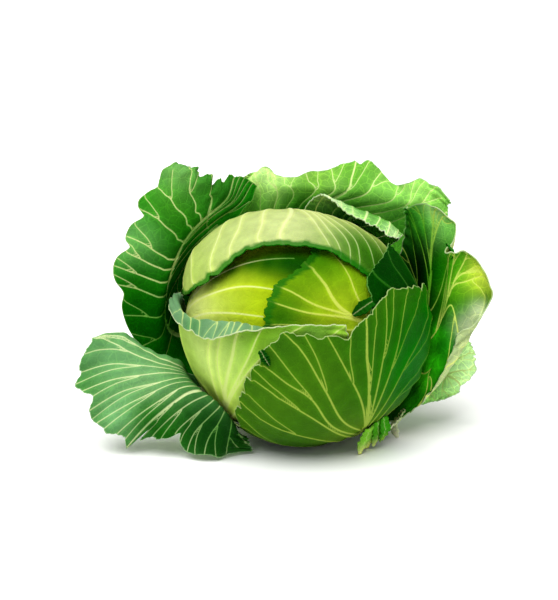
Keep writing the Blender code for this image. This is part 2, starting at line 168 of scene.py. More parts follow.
# A leaf's lines run from near the foot to the margin, from its left side to its right as
# seen from the front, each point as azimuth round the stalk, angle from it and lift off the
# heart. Azimuth 0 is right, 90 front and below, 180 left, 270 back and above.
# foot: first and last azimuth at the stalk, and lift. waves: count across, count along,
# height. cut: how deep the margin is scalloped at the tip and at the sides, and how often.
LEAVES = {
    "leaf_heart_right": dict(
        foot=(50, 10, 3.0), waves=(2.0, 0.0, 0.0), cut=(0.015, 0.02, 5),
        lines=[
            [(60, 45, 3), (68, 78, 3), (75, 108, 3), (86, 130, 3), (104, 142, 3), (119, 141, 3)],
            [(42, 48, 3), (44, 84, 3), (47, 118, 3), (58, 142, 3), (92, 154, 3), (129, 150, 4)],
            [(28, 50, 3), (26, 86, 3), (25, 120, 3), (28, 148, 3), (68, 168, 3), (153, 164, 4.5)],
            [(14, 48, 3), (8, 84, 3), (4, 116, 3), (2, 144, 3), (348, 164, 3), (272, 175, 4.5)],
            [(0, 44, 3), (350, 74, 3), (344, 104, 3), (340, 130, 3), (325, 150, 3), (287, 157, 3)],
        ]),
    "leaf_crown": dict(
        foot=(240, 288, 4.8), waves=(3.0, 0.0, 0.8), cut=(0.02, 0.0, 7),
        lines=[
            [(222, 42, 4.8), (206, 68, 4.8), (199, 86, 4.8),
             (194, 97, 4.6), (189, 107, 4.6), (186, 115, 5)],
            [(234, 45, 6), (220, 74, 12), (211, 100, 14), (203, 117, 11), (192, 126, 8), (184, 134, 8)],
            [(247, 46, 6), (240, 80, 13), (236, 112, 14), (229, 134, 10), (214, 143, 8), (203, 150, 10)],
            [(262, 48, 5), (262, 84, 8), (262, 120, 9), (257, 145, 8), (243, 155, 7), (231, 162, 10)],
            [(277, 48, 5), (283, 86, 5), (288, 122, 6), (293, 146, 6), (300, 159, 7), (302, 166, 10)],
            [(292, 46, 5), (304, 80, 5), (314, 108, 5), (323, 132, 5), (334, 149, 6), (340, 159, 8)],
            [(306, 42, 5), (322, 68, 5), (334, 94, 5), (342, 114, 5), (350, 131, 5), (358, 146, 5.5)],
        ]),
    "leaf_front_left": dict(
        foot=(155, 106, 6.2), waves=(3.0, 0.0, 0.8), cut=(0.02, 0.0, 6),
        lines=[
            [(172, 40, 4), (187, 65, 2.6), (195, 82, 5), (196, 92, 7.5), (192, 99, 10), (187, 99, 13)],
            [(156, 40, 4), (167, 68, 2.2), (173, 90, 3), (175, 106, 6), (170, 120, 9.5), (161, 121, 15)],
            [(146, 42, 4), (153, 74, 2.2), (156, 100, 2.6),
             (158, 121, 5.5), (154, 136, 10.5), (146, 131, 16)],
            [(134, 44, 4), (138, 78, 2.6), (141, 106, 3), (143, 130, 6), (142, 144, 10), (137, 141, 15)],
            [(120, 46, 4.5), (118, 82, 4.2), (117, 112, 4.6),
             (117, 136, 5.8), (117, 149, 7.8), (115, 152, 10)],
            [(106, 46, 5.4), (98, 80, 5.4), (91, 110, 5.6), (86, 134, 6.2), (83, 149, 7), (80, 155, 9)],
            [(94, 44, 6.2), (80, 72, 6.2), (68, 100, 6.2), (60, 125, 6.2), (54, 141, 6.4), (50, 149, 7)],
        ]),
    "leaf_head_right": dict(
        foot=(25, 342, 7.2), waves=(2.0, 0.0, 0.4), cut=(0.015, 0.02, 4),
        lines=[
            [(28, 45, 7.2), (30, 78, 7.2), (31, 105, 7.2), (31, 126, 7.2), (32, 142, 7.4)],
            [(12, 46, 7.2), (12, 82, 7.2), (14, 112, 7.2), (16, 132, 7.2), (18, 146, 7.6)],
            [(358, 46, 7.2), (356, 82, 7.2), (355, 112, 7.2), (356, 134, 7.4), (1, 150, 8.4)],
            [(344, 46, 7.2), (341, 78, 7.2), (340, 104, 7.2), (340, 124, 7.4), (341, 140, 8.4)],
            [(332, 44, 7.2), (328, 68, 7.2), (326, 90, 7.2), (325, 105, 7.2), (323, 117, 7.8)],
        ]),
    "leaf_front_right": dict(
        foot=(104, 42, 9.0), waves=(4.0, 0.0, 0.8), cut=(0.025, 0.0, 10),
        lines=[
            [(111, 34, 9), (116, 46, 8), (120, 56, 7), (123, 64, 6.4), (126, 72, 6.4)],
            [(102, 38, 9), (107, 54, 8.6), (112, 68, 7.6), (117, 80, 6.8), (123, 92, 7)],
            [(94, 42, 9), (99, 64, 9), (106, 84, 8.4), (113, 99, 7.8), (122, 112, 8)],
            [(84, 44, 9), (89, 74, 9), (96, 100, 8.8), (105, 118, 8.8), (120, 132, 10)],
            [(72, 46, 9), (76, 82, 9), (82, 112, 9), (91, 134, 9), (106, 151, 10.5)],
            [(60, 46, 9), (60, 80, 9), (60, 108, 9), (58, 130, 9), (55, 146, 9.6)],
            [(50, 46, 9), (47, 78, 9), (39, 102, 9), (26, 122, 9.5), (7, 141, 11)],
            [(44, 44, 9), (43, 64, 9), (31, 80, 10), (9, 91, 11), (345, 103, 12)],
        ]),
    "leaf_top_folded": dict(
        foot=(276, 312, 11.0), waves=(2.0, 0.0, 0.8), cut=(0.03, 0.0, 5),
        lines=[
            [(274, 45, 11), (272, 76, 12), (272, 96, 14), (275, 104, 19), (279, 109, 22), (282, 113, 21)],
            [(281, 45, 11), (280, 76, 12), (280, 96, 14), (285, 103, 20), (287, 110, 20), (289, 117, 14)],
            [(289, 46, 11), (287, 78, 12), (288, 96, 14), (295, 102, 20), (297, 109, 18), (300, 118, 11)],
            [(297, 46, 11), (296, 78, 12), (297, 94, 15), (303, 99, 22), (307, 106, 20), (311, 117, 10)],
            [(304, 45, 11), (304, 74, 12), (305, 88, 15), (310, 94, 24), (314, 104, 22), (320, 113, 12)],
            [(311, 42, 11), (311, 66, 12), (311, 80, 15), (315, 88, 24), (318, 98, 23), (321, 106, 17)],
        ]),
    "leaf_left": dict(
        foot=(180, 220, 13.0), waves=(0.5, 5.0, 3.0),
        cut=(0.05, 0.14, 5),
        lines=[
            [(174, 44, 20), (169, 68, 27), (177, 81, 38), (191, 97, 57), (202, 102, 64), (214, 105, 69),
             (226, 105, 77), (234, 103, 76)],
            [(184, 45, 18), (174, 68, 23), (179, 82, 29), (193, 96, 39), (206, 103, 44), (219, 105, 50),
             (230, 104, 57), (238, 103, 64)],
            [(195, 46, 17), (180, 68, 20), (182, 82, 20), (194, 94, 21), (210, 99, 25), (225, 101, 31),
             (237, 99, 41), (243, 101, 53)],
            [(206, 46, 16), (193, 68, 17), (191, 81, 18), (202, 90, 19), (218, 95, 22), (231, 96, 27),
             (242, 96, 35), (248, 99, 51.5)],
            [(217, 46, 16), (207, 68, 17), (206, 78, 18), (214, 86, 20), (225, 93, 21), (237, 92, 26),
             (246, 93, 32), (252, 96, 47.5)],
            [(228, 44, 16), (222, 66, 17), (221, 74, 18), (226, 82, 20), (234, 88, 21), (242, 90, 23),
             (251, 91, 32), (255, 92, 43.5)],
        ]),
    "leaf_right": dict(
        foot=(318, 19, 13.6), waves=(4.5, 0.0, 2.0), cut=(0.05, 0.03, 8),
        lines=[
            [(318, 42, 15), (318, 66, 19), (317, 79, 25), (314, 87, 34), (311, 91, 42), (309, 93, 46)],
            [(330, 43, 14), (331, 70, 17), (328, 82, 23), (321, 89, 33), (314, 94, 42), (311, 96, 46)],
            [(342, 43, 14), (344, 74, 15), (339, 86, 20), (328, 93, 33), (319, 98, 48), (316, 101, 52)],
            [(353, 43, 14), (357, 73, 15), (348, 87, 21), (336, 95, 36), (329, 101, 54), (328, 103, 57)],
            [(4, 43, 14), (8, 71, 16), (354, 87, 22), (345, 94, 29), (337, 99, 37), (335, 104, 39.5)],
            [(13, 43, 15), (19, 68, 18), (359, 87, 23), (348, 95, 34), (341, 101, 49), (340, 104, 49)],
            [(22, 42, 17), (28, 60, 19), (17, 75, 20), (5, 86, 30), (352, 95, 54), (353, 101, 61)],
            [(31, 41, 18), (38, 56, 21), (35, 66, 22), (27, 73, 24), (12, 83, 26.5), (3, 91, 30.5)],
        ]),
    "leaf_right_low": dict(
        foot=(352, 22, 19.0), waves=(1.5, 1.0, 2.0), cut=(0.06, 0.05, 3),
        lines=[
            [(356, 40, 23), (359, 55, 26), (355, 65, 30), (355, 72, 40), (356, 75, 51)],
            [(6, 40, 23), (10, 54, 27), (3, 64, 33), (1, 70, 46), (2, 71, 61)],
            [(17, 40, 23), (20, 53, 27), (12, 62, 32), (9, 67, 45), (8, 69, 60)],
            [(28, 40, 23), (31, 50, 26), (25, 58, 28), (20, 63, 38), (16, 66, 49)],
        ]),
    "leaf_back": dict(
        foot=(236, 297, 16.0), waves=(5.0, 0.0, 3.0),
        cut=(0.05, 0.03, 6),
        lines=[
            [(228, 42, 20), (226, 64, 27), (234, 78, 38), (244, 86, 48), (250, 90, 55), (254, 91, 58)],
            [(240, 42, 20), (239, 66, 26), (246, 80, 35), (254, 88, 45), (257, 91, 53), (259, 91, 59.5)],
            [(252, 42, 20), (252, 68, 25), (257, 82, 32), (266, 90, 40), (267, 90, 45), (269, 90, 52)],
            [(264, 42, 20), (265, 69, 25), (269, 84, 30), (280, 91, 39), (281, 91, 50), (281, 91, 63)],
            [(276, 42, 20), (279, 69, 25), (283, 84, 31), (293, 91, 43), (292, 92, 57), (290, 92, 75)],
            [(288, 42, 20), (294, 68, 26), (297, 82, 35), (306, 90, 49), (304, 91, 59), (302, 91, 63)],
            [(300, 42, 20), (308, 66, 28), (310, 80, 43), (312, 90, 58), (310, 92, 67), (308, 94, 76)],
            [(311, 42, 21), (321, 64, 31), (321, 78, 49), (321, 87, 63), (319, 90, 71), (318, 92, 77)],
        ]),
    "leaf_left_low": dict(
        foot=(176, 146, 15.0), waves=(5.0, 0.0, 2.5), cut=(0.05, 0.0, 5),
        lines=[
            [(171, 46, 16), (168, 66, 14), (166, 79, 10), (165, 87, 9),
             (171, 88, 27), (177, 92, 46), (175, 92, 75.5)],
            [(168, 46, 16), (164, 67, 12), (161, 78, 7), (162, 87, 8.5),
             (165, 92, 27), (170, 92, 52), (169, 90, 84)],
            [(166, 45, 16), (161, 66, 11), (158, 76, 6), (158, 88, 8.5),
             (160, 94, 27.5), (163, 92, 56), (163, 88, 87)],
            [(164, 44, 16), (159, 66, 10), (154, 76, 5.5), (152, 93, 8.5),
             (154, 95, 25), (158, 91, 52), (157, 86, 85)],
            [(162, 43, 16), (158, 64, 10), (152, 75, 5.5), (145, 97, 8.5),
             (149, 98, 22), (152, 91, 47), (153, 84, 84)],
            [(160, 42, 16), (154, 62, 10), (147, 75, 5.5), (139, 99, 8.5),
             (143, 99, 20), (146, 91, 42), (147, 79, 78)],
            [(158, 41, 16), (151, 60, 10), (143, 73, 5.5), (134, 100, 8.5),
             (137, 98, 19), (141, 90, 35), (144, 80, 59)],
            [(156, 40, 16), (147, 58, 10), (138, 71, 6), (129, 99, 9),
             (132, 96, 18), (136, 89, 31), (138, 83, 45)],
            [(154, 39, 16), (143, 56, 11), (133, 69, 7.5), (126, 96, 9),
             (127, 92, 17), (129, 87, 29), (129, 81, 43)],
            [(152, 38, 16), (139, 54, 12), (128, 67, 9.5), (122, 88, 9.5),
             (121, 85, 16), (121, 82, 23), (121, 78, 31)],
            [(150, 37, 16), (135, 52, 13), (122, 63, 12), (117, 74, 10.5),
             (115, 74, 13), (113, 73, 16), (112, 72, 19)],
        ]),
}

# How each leaf looks. Places on a leaf are percent across it, from its left side as seen from
# the front, and along it, from foot to tip.
# slot: the plain solid's material. cells: of the sheet, across and along.
# puff: how far the blade stands up between veins. ruffle: small waves of the free margin.
# ragged: depth of its fine teeth, as a share of the leaf. calm: 1 keeps the right half of the
# tip free of teeth and waves.
# notches: deeper cuts in the tip, each at a share across, with its depth and half width as
# shares. side_notches: the same in a side, 0 left or 1 right, each at a share along.
# inner and outer: the colour of each face. inner_spots and outer_spots: spots of another
# colour, each with its place, reach in mm, colour and strength.
# deep: spots of painted deep shade, on the faces named in shaded.
# veins: lines of places, the midrib first. forks: shares of a vein where forks leave it.
# vein, rim: colours of the veins and the margin. vein_strength, net, bloom: how much the main
# veins, the net of small ones and the bloom show. rim_width: of the coloured margin, in mm.
PLAIN_LEAF = dict(notches=[], side_notches=[], calm=0, inner_spots=[], outer_spots=[], forks=(),
                  bloom=0.0, shaded=("outer",))
LOOKS = {
    "leaf_heart_right": dict(
        slot="inner_leaf", cells=(180, 200), puff=0.5, ruffle=0.3, ragged=0.008,
        inner="93aa3c",
        # Near the tip, the dark green spot at 30 across and the deep spots are painted shade under the
        # crown's margin.
        outer="618907", outer_spots=[
            (30, 90, 22, "1b5803", 0.95), (42, 72, 24, "889f16", 0.75), (85, 95, 20, "4e8008", 0.8)],
        deep=[(85, 97, 16, 0.7), (30, 96, 8, 0.4)],
        vein="b7c152", vein_strength=0.75, net=0.06, rim="1b5e09", rim_width=6.0,
        veins=[
            [(45, 0), (43, 30), (42, 60), (45, 72), (61, 82), (77, 97)],
            [(42, 60), (56, 68), (75, 77), (92, 90)],
            [(42, 66), (43, 79), (50, 92), (53, 99)],
            [(42, 64), (37, 82), (41, 97)],
            [(42, 58), (28, 75), (24, 96)],
            [(43, 45), (65, 55), (96, 70)],
            [(43, 40), (25, 55), (8, 82)],
        ]),
    "leaf_crown": dict(
        slot="pale_leaf", cells=(200, 190), puff=0.5, ruffle=0.5, ragged=0.012,
        notches=[(0.36, 0.03, 0.012), (0.19, 0.03, 0.010), (0.11, 0.04, 0.015)],
        inner="105b02",
        outer="97aa52", outer_spots=[
            (80, 80, 26, "568e16", 0.85),
            (50, 70, 45, "b0bc7c", 0.95), (30, 75, 30, "a3b36c", 0.7), (14, 80, 22, "93ac4e", 0.7),
            (86, 77, 34, "36690a", 0.97), (97, 85, 24, "306607", 0.8)],
        deep=[(97, 88, 14, 0.5), (86, 80, 26, 0.35)],
        vein="c8d194", vein_strength=0.7, net=0.03, rim="0c6404", rim_width=7.5,
        veins=[
            [(50, 0), (50, 30), (52, 57), (50, 72), (53, 99)],
            [(50, 40), (43, 54), (41, 75), (44, 98)],
            [(50, 32), (38, 50), (31, 74), (29, 97)],
            [(50, 24), (33, 48), (24, 74), (20, 96)],
            [(50, 18), (25, 42), (14, 72), (10, 95)],
            [(50, 12), (18, 34), (6, 62), (2, 88)],
            [(51, 44), (58, 57), (64, 70), (74, 97)],
            [(50, 34), (62, 54), (73, 70), (86, 96)],
            [(50, 26), (66, 48), (80, 66), (95, 92)],
            [(50, 20), (70, 40), (86, 56), (98, 76)],
            [(50, 13), (75, 30), (97, 52)],
            [(51, 40), (61, 56), (69, 72), (80, 97)],
            [(50, 30), (64, 52), (77, 70), (91, 94)],
            [(50, 22), (68, 44), (83, 62), (97, 85)],
        ]),
    "leaf_front_left": dict(
        slot="front_leaf", cells=(190, 215),
        puff=0.9, ruffle=0.9, ragged=0.008, notches=[(0.70, 0.03, 0.01)],
        inner="588155", inner_spots=[(20, 95, 10, "366e34", 0.7), (80, 95, 24, "4c722d", 0.8)],
        outer="8bb335", outer_spots=[
            # The darker greens along the left edge, and the deep spot there, are painted shade.
            (3, 45, 8, "3c8c06", 0.8), (4, 78, 8, "4a9a10", 0.7),
            (22, 50, 14, "b8d860", 0.9), (50, 30, 14, "a4cc30", 0.8),
            (42, 60, 34, "b1cb69", 0.95), (58, 40, 22, "a9c640", 0.85), (28, 52, 16, "a3c44b", 0.8),
            (60, 85, 26, "5a9016", 0.8),
            (6, 62, 12, "458b07", 0.8), (85, 85, 26, "4c830d", 0.8), (58, 34, 9, "c2d072", 0.7)],
        deep=[(2, 60, 12, 0.6)],
        vein="bccb79", vein_strength=0.7, net=0.04, bloom=0.04, rim="b4c192", rim_width=0.7,
        veins=[
            [(55, 0), (57, 20), (58, 36), (57, 60), (53, 76), (50, 97)],
            [(58, 34), (48, 42), (33, 46), (18, 60), (8, 95)],
            [(58, 36), (52, 50), (42, 65), (27, 97)],
            [(58, 38), (57, 48), (48, 67), (38, 96)],
            [(58, 38), (62, 62), (62, 78), (62, 98)],
            [(58, 37), (64, 60), (75, 85), (80, 97)],
            [(57, 30), (68, 50), (85, 75), (94, 93)],
            [(57, 22), (35, 28), (15, 38), (3, 55)],
            [(57, 20), (75, 33), (97, 52)],
            *[[(across, 80), (across + 1, 98.5)] for across in (13, 18, 23, 33, 42, 46, 56)],
        ]),
    "leaf_head_right": dict(
        slot="deep_leaf", cells=(150, 180), puff=0.4, ruffle=0.4, ragged=0.006,
        inner="528035",
        outer="043e02", outer_spots=[(30, 85, 24, "0d5302", 0.7)],
        deep=[(45, 85, 40, 0.9)],
        vein="548935", vein_strength=0.7, net=0.15, rim="80a55e", rim_width=0.6,
        veins=[
            [(45, 0), (42, 40), (40, 70), (46, 86), (60, 98)],
            [(41, 62), (60, 76), (88, 95)],
            [(42, 50), (68, 65), (96, 85)],
            [(42, 55), (26, 72), (12, 93)],
            [(42, 40), (70, 50), (97, 68)],
            [(42, 38), (22, 50), (5, 72)],
        ]),
    "leaf_front_right": dict(
        slot="olive_leaf", cells=(215, 205), puff=0.8, ruffle=0.6, ragged=0.010,
        notches=[(0.16, 0.10, 0.03), (0.27, 0.06, 0.012), (0.34, 0.035, 0.010), (0.40, 0.03, 0.008),
            (0.46, 0.025, 0.010), (0.08, 0.06, 0.02), (0.80, 0.02, 0.01)],
        inner="608637",
        outer="295906", outer_spots=[
            (70, 42, 34, "507215", 0.9), (60, 75, 34, "3a690c", 0.8), (40, 80, 30, "3c690c", 0.7),
            (90, 72, 34, "077c01", 1.0), (96, 90, 24, "046c01", 1.0), (20, 62, 16, "4a781b", 0.9),
            (20, 75, 26, "376208", 0.7),
            (55, 97, 14, "2e5a0c", 0.7), (75, 90, 16, "235a09", 0.7)],
        deep=[(88, 80, 26, 0.6), (94, 86, 24, 0.5), (92, 66, 20, 0.4), (90, 60, 30, 0.6),
            (25, 45, 26, 0.6)],
        vein="a2b747", vein_strength=0.75, forks=(0.55,), net=0.05, rim="97ac6b", rim_width=0.6,
        veins=[
            [(62, 0), (68, 25), (72, 45), (74, 69), (75, 84), (78, 98)],
            [(71, 42), (64, 54), (62, 70), (60, 90), (57, 98)],
            [(72, 46), (71, 63), (69, 78), (67, 98)],
            [(70, 38), (60, 52), (57, 67), (51, 81), (46, 97)],
            [(69, 34), (59, 50), (48, 73), (40, 95)],
            [(68, 28), (52, 46), (38, 66), (28, 93)],
            [(66, 22), (44, 38), (26, 58), (17, 90)],
            [(64, 15), (35, 27), (12, 45), (4, 80)],
            [(73, 48), (78, 74), (85, 98)],
            [(72, 43), (81, 71), (91, 97)],
            [(71, 38), (84, 64), (95, 94)],
            [(69, 31), (86, 55), (97, 80)],
            [(67, 22), (85, 40), (98, 58)],
        ]),
    "leaf_top_folded": dict(
        slot="bloomed_leaf", cells=(150, 200),
        puff=0.6, ruffle=0.5, ragged=0.010, notches=[(0.17, 0.05, 0.03)],
        inner="2b7409", inner_spots=[(10, 98, 18, "bdd4a5", 0.95), (55, 97, 24, "71ae50", 0.85),
            (85, 97, 16, "a2c588", 0.8)],
        outer="5c9c3e", outer_spots=[
            (14, 97, 14, "c4d9ac", 0.9), (34, 97, 12, "9cc67c", 0.8), (88, 97, 12, "a8cc90", 0.7)],
        shaded=("inner", "outer"), deep=[(50, 55, 26, 0.9)],
        vein="dde6a4", vein_strength=1.0, net=0.45, bloom=0.03, rim="c4d0ac", rim_width=0.8,
        veins=[
            [(50, 0), (50, 30), (52, 50), (50, 75), (50, 98)],
            [(50, 42), (42, 60), (36, 78), (38, 97)],
            [(50, 35), (33, 52), (25, 75), (26, 97)],
            [(50, 25), (18, 45), (8, 72), (10, 95)],
            [(50, 42), (60, 60), (62, 78), (62, 97)],
            [(50, 34), (68, 52), (74, 75), (75, 97)],
            [(50, 25), (82, 48), (89, 75), (90, 97)],
        ]),
    "leaf_left": dict(
        slot="outer_leaf", cells=(200, 215), puff=1.4, ruffle=0.9, ragged=0.006,
        notches=[(0.36, 0.05, 0.02)], calm=0.9, side_notches=[(0, 0.48, 0.10, 0.018),
            (0, 0.61, 0.10, 0.018), (0, 0.715, 0.12, 0.02), (0, 0.35, 0.10, 0.02)],
        inner="107403", inner_spots=[
            (10, 62, 17, "86bc76", 0.9), (14, 90, 18, "8abf70", 0.9),
            # The near-black greens here are partly the leaf's own deeper green and partly painted shade.
            (60, 40, 30, "064501", 0.95), (80, 68, 36, "036801", 1.0), (60, 90, 24, "046c02", 1.0),
            (45, 60, 16, "074701", 0.9),
            (20, 80, 30, "337515", 0.8), (12, 62, 22, "347921", 0.7), (40, 95, 22, "377523", 0.8),
            (5, 42, 26, "116001", 0.9), (20, 52, 20, "0d5502", 0.8)],
        outer="468029",
        shaded=("inner",), deep=[(46, 68, 16, 0.5), (60, 88, 20, 0.7), (58, 38, 28, 0.9),
            (30, 38, 26, 0.7), (8, 44, 22, 0.6), (75, 60, 26, 0.6)],
        vein="ced78f", vein_strength=0.85, forks=(0.6,), net=0.18, rim="719c47", rim_width=0.7,
        veins=[
            [(50, 0), (52, 25), (54, 42), (48, 52), (44, 62), (44, 72), (52, 83),
             (60, 96)],
            [(53, 28), (30, 28), (4, 28)],
            [(54, 36), (35, 36), (5, 37)],
            [(52, 42), (30, 43), (3, 44)],
            [(50, 48), (25, 49), (3, 50)],
            [(48, 53), (20, 53), (2, 55)],
            [(46, 57), (23, 57), (3, 60)],
            [(45, 60), (25, 61), (4, 65)],
            [(44, 66), (23, 70), (2, 74)],
            [(44, 71), (20, 79), (2, 84)],
            [(45, 76), (29, 84), (12, 96)],
            [(48, 80), (38, 89), (32, 99)],
            [(46, 57), (64, 70), (76, 84), (90, 95)],
            [(48, 52), (70, 60), (97, 77)],
            [(53, 42), (75, 48), (98, 58)],
            [(53, 32), (75, 36), (97, 42)],
            [(45, 66), (58, 80), (74, 97)],
        ]),
    "leaf_right": dict(
        slot="outer_leaf", cells=(215, 190), puff=1.0, ruffle=0.9, ragged=0.008,
        notches=[(0.46, 0.06, 0.02), (0.58, 0.03, 0.02), (0.84, 0.04, 0.02)],
        inner="105f03", inner_spots=[
            # The near-black spot at 22 across is painted shade from the head.
            (22, 56, 32, "011401", 1.0), (30, 88, 18, "a4d480", 0.92), (42, 82, 13, "74bc50", 0.9),
            (15, 95, 14, "4a9434", 0.8), (46, 66, 14, "177805", 0.9), (72, 70, 18, "478f0a", 0.9),
            (80, 90, 15, "c3dc44", 0.95), (62, 84, 14, "348f0a", 0.85), (88, 82, 7, "c4d4a4", 0.9),
            (95, 93, 12, "c4cfa6", 0.9),
            (62, 44, 8, "34cc10", 0.95), (69, 40, 8, "34cc10", 0.95), (80, 42, 8, "38b810", 0.95),
            (90, 41, 8, "2ca40c", 0.95), (78, 52, 9, "0c6205", 0.9)],
        outer="9fb37a",
        shaded=("inner",), deep=[(20, 74, 18, 0.95), (10, 84, 16, 0.9), (16, 66, 20, 0.8),
            (25, 48, 24, 1.0),
              (36, 60, 13, 0.9), (50, 53, 9, 0.75)],
        vein="d6e268", vein_strength=0.85, forks=(0.6, 0.8), net=0.2, rim="afc18f", rim_width=0.8,
        veins=[
            [(42, 0), (41, 22), (36, 33), (31, 48), (30, 64), (31, 80), (34, 97)],
            [(31, 48), (22, 62), (14, 80), (9, 96)],
            [(30, 58), (25, 72), (21, 95)],
            [(31, 70), (35, 83), (40, 97)],
            [(34, 38), (41, 51), (46, 68), (49, 92)],
            [(39, 26), (50, 40), (58, 50), (66, 68), (76, 82), (84, 98)],
            [(52, 43), (51, 66), (54, 96)],
            [(56, 48), (56, 70), (59, 96)],
            [(60, 54), (62, 74), (65, 97)],
            [(64, 62), (69, 78), (72, 97)],
            [(66, 66), (74, 74), (88, 96)],
            [(58, 50), (75, 62), (94, 80)],
            [(41, 18), (62, 32), (82, 47), (97, 62)],
            [(36, 34), (20, 42), (4, 56)],
            [(41, 18), (22, 26), (3, 36)],
        ]),
    "leaf_right_low": dict(
        slot="bloomed_leaf", cells=(140, 160),
        puff=1.0, ruffle=0.7, ragged=0.006, notches=[(0.30, 0.04, 0.02)],
        inner="72ba50", inner_spots=[(50, 90, 30, "b9e3a0", 0.9)],
        outer="80aa73",
        shaded=("inner",), deep=[(40, 50, 20, 0.6)],
        vein="bacc7b", vein_strength=0.9, forks=(0.6, 0.8),
        net=0.3, bloom=0.03, rim="a5c096", rim_width=0.7,
        veins=[
            [(45, 0), (45, 40), (50, 64), (64, 76), (79, 93)],
            [(49, 62), (40, 78), (24, 95)],
            [(46, 50), (26, 68), (8, 88)],
            [(58, 72), (80, 78), (96, 92)],
            [(47, 54), (70, 62), (96, 76)],
            [(60, 74), (57, 86), (52, 98)],
        ]),
    "leaf_back": dict(
        slot="outer_leaf", cells=(230, 180), puff=1.2, ruffle=0.9, ragged=0.006,
        notches=[(0.10, 0.04, 0.02), (0.55, 0.04, 0.02)],
        inner="439912", inner_spots=[
            (21, 70, 14, "d4eeb0", 0.9), (44, 70, 14, "c8e8a0", 0.9),
            (10, 58, 16, "1c8105", 0.9), (38, 68, 34, "afdc5d", 0.9), (20, 70, 22, "c0e576", 0.85),
            (60, 88, 36, "58982a", 0.9),
            (82, 85, 34, "8bc55d", 0.85), (50, 45, 40, "136c01", 0.95), (15, 95, 20, "aad584", 0.7)],
        outer="78a069",
        shaded=("inner",), deep=[(10, 60, 18, 0.7), (50, 42, 30, 0.7), (85, 52, 20, 0.7),
            (22, 56, 13, 0.6), (38, 55, 14, 0.6),
              (60, 56, 16, 0.6), (75, 60, 14, 0.5)],
        vein="dde49c", vein_strength=0.9, forks=(0.72,),
        net=0.25, bloom=0.02, rim="9dba89", rim_width=0.8,
        veins=[
            [(50, 0), (50, 30), (52, 53), (51, 70), (53, 97)],
            [(50, 14), (25, 32), (10, 55), (3, 82)],
            [(50, 20), (32, 40), (22, 56), (14, 72), (7, 93)],
            [(50, 25), (36, 42), (29, 57), (20, 75), (15, 95)],
            [(50, 30), (40, 45), (36, 57), (28, 72), (24, 97)],
            [(50, 34), (45, 47), (42, 58), (37, 74), (33, 97)],
            [(50, 40), (48, 57), (45, 74), (42, 97)],
            [(51, 46), (57, 60), (60, 78), (64, 97)],
            [(50, 32), (59, 46), (66, 60), (69, 78), (72, 97)],
            [(50, 26), (63, 42), (73, 57), (77, 74), (81, 96)],
            [(50, 20), (70, 38), (83, 57), (87, 74), (92, 94)],
            [(50, 14), (75, 32), (91, 54), (98, 80)],
        ]),
    "leaf_left_low": dict(
        slot="bloomed_leaf", cells=(215, 210), puff=1.0, ruffle=0.9, ragged=0.004,
        notches=[(0.55, 0.07, 0.012), (0.70, 0.06, 0.015)],
        inner="306c27", inner_spots=[
            # The very dark greens towards its right and tip are painted shade, where the leaf turns away
            # from the lamp and runs under the head.
            (80, 78, 22, "0c4a05", 0.9),
            (30, 78, 30, "67945f", 0.8), (10, 85, 26, "5a8b56", 0.7), (75, 85, 30, "094104", 0.97),
            (60, 95, 22, "125c02", 0.8), (95, 60, 26, "104401", 0.8), (38, 93, 16, "679d65", 0.6),
            (52, 88, 13, "18590d", 0.9)],
        outer="89ae7c",
        shaded=("inner",), deep=[(51, 90, 16, 0.3), (80, 78, 22, 0.4), (92, 60, 22, 0.9),
            (80, 75, 20, 0.5), (62, 97, 14, 0.5)],
        vein="d0d9a1", vein_strength=0.8, forks=(0.72,),
        net=0.12, bloom=0.03, rim="92b380", rim_width=0.8,
        veins=[
            [(45, 0), (45, 30), (48, 62), (51, 80), (52, 97)],
            [(45, 8), (22, 35), (7, 68), (3, 84), (1, 95)],
            [(45, 10), (26, 38), (12, 68), (8, 83), (5, 96)],
            [(45, 12), (29, 40), (18, 67), (15, 82), (13, 97)],
            [(45, 15), (32, 42), (24, 65), (23, 80), (21, 97)],
            [(45, 18), (35, 43), (30, 63), (31, 80), (29, 97)],
            [(45, 22), (39, 44), (36, 62), (38, 80), (37, 97)],
            [(45, 28), (42, 46), (42, 62), (45, 80), (45, 97)],
            [(46, 28), (50, 45), (55, 62), (57, 80), (60, 97)],
            [(46, 22), (54, 42), (62, 61), (66, 80), (69, 97)],
            [(45, 18), (57, 40), (69, 60), (74, 80), (77, 97)],
            [(45, 15), (60, 38), (77, 60), (81, 80), (83, 96)],
            [(45, 12), (64, 35), (85, 58), (89, 77), (91, 94)],
            [(45, 10), (68, 32), (92, 54), (96, 78)],
        ]),
}

# The heart's skin: its colours at azimuth and angle, and its veins as lines of both.
HEART_LOOK = dict(
    slot="heart_skin", cells=(256, 160), cut_face="c8c99d",
    outer="8ca507", outer_spots=[
        # The near-black spots along the crown's margin, and the deep spots, are partly painted shade under
        # that margin and partly a deeper green.
        (178, 118, 30, "b9c66e", 0.95), (200, 140, 26, "a1b61a", 0.9), (193, 131, 9, "125002", 0.95),
        (197, 141, 10, "125002", 0.95), (204, 151, 11, "125002", 0.95), (213, 160, 11, "125002", 0.95),
        (235, 168, 15, "165401", 0.95), (290, 174, 16, "135201", 0.95), (345, 166, 16, "165401", 0.9)],
    deep=[(206, 160, 10, 0.6), (235, 169, 14, 0.8), (290, 174, 16, 0.9), (345, 166, 16, 0.8)],
    vein="ced68f", vein_strength=0.7, net=0.03, bloom=0.0, rim="a1b32e", rim_width=0.0,
    veins=[
        [(176, 60), (180, 90), (186, 110), (192, 130), (204, 150), (250, 168)],
        [(178, 80), (182, 108), (180, 130), (176, 150), (140, 168)],
        [(176, 90), (172, 118), (160, 138), (135, 152)],
        [(182, 98), (196, 124), (218, 142), (262, 152)],
        [(174, 80), (160, 108), (142, 128), (120, 140)],
        [(300, 30), (310, 60), (330, 90), (350, 110)],
        [(60, 30), (50, 60), (40, 90), (30, 110)],
    ])

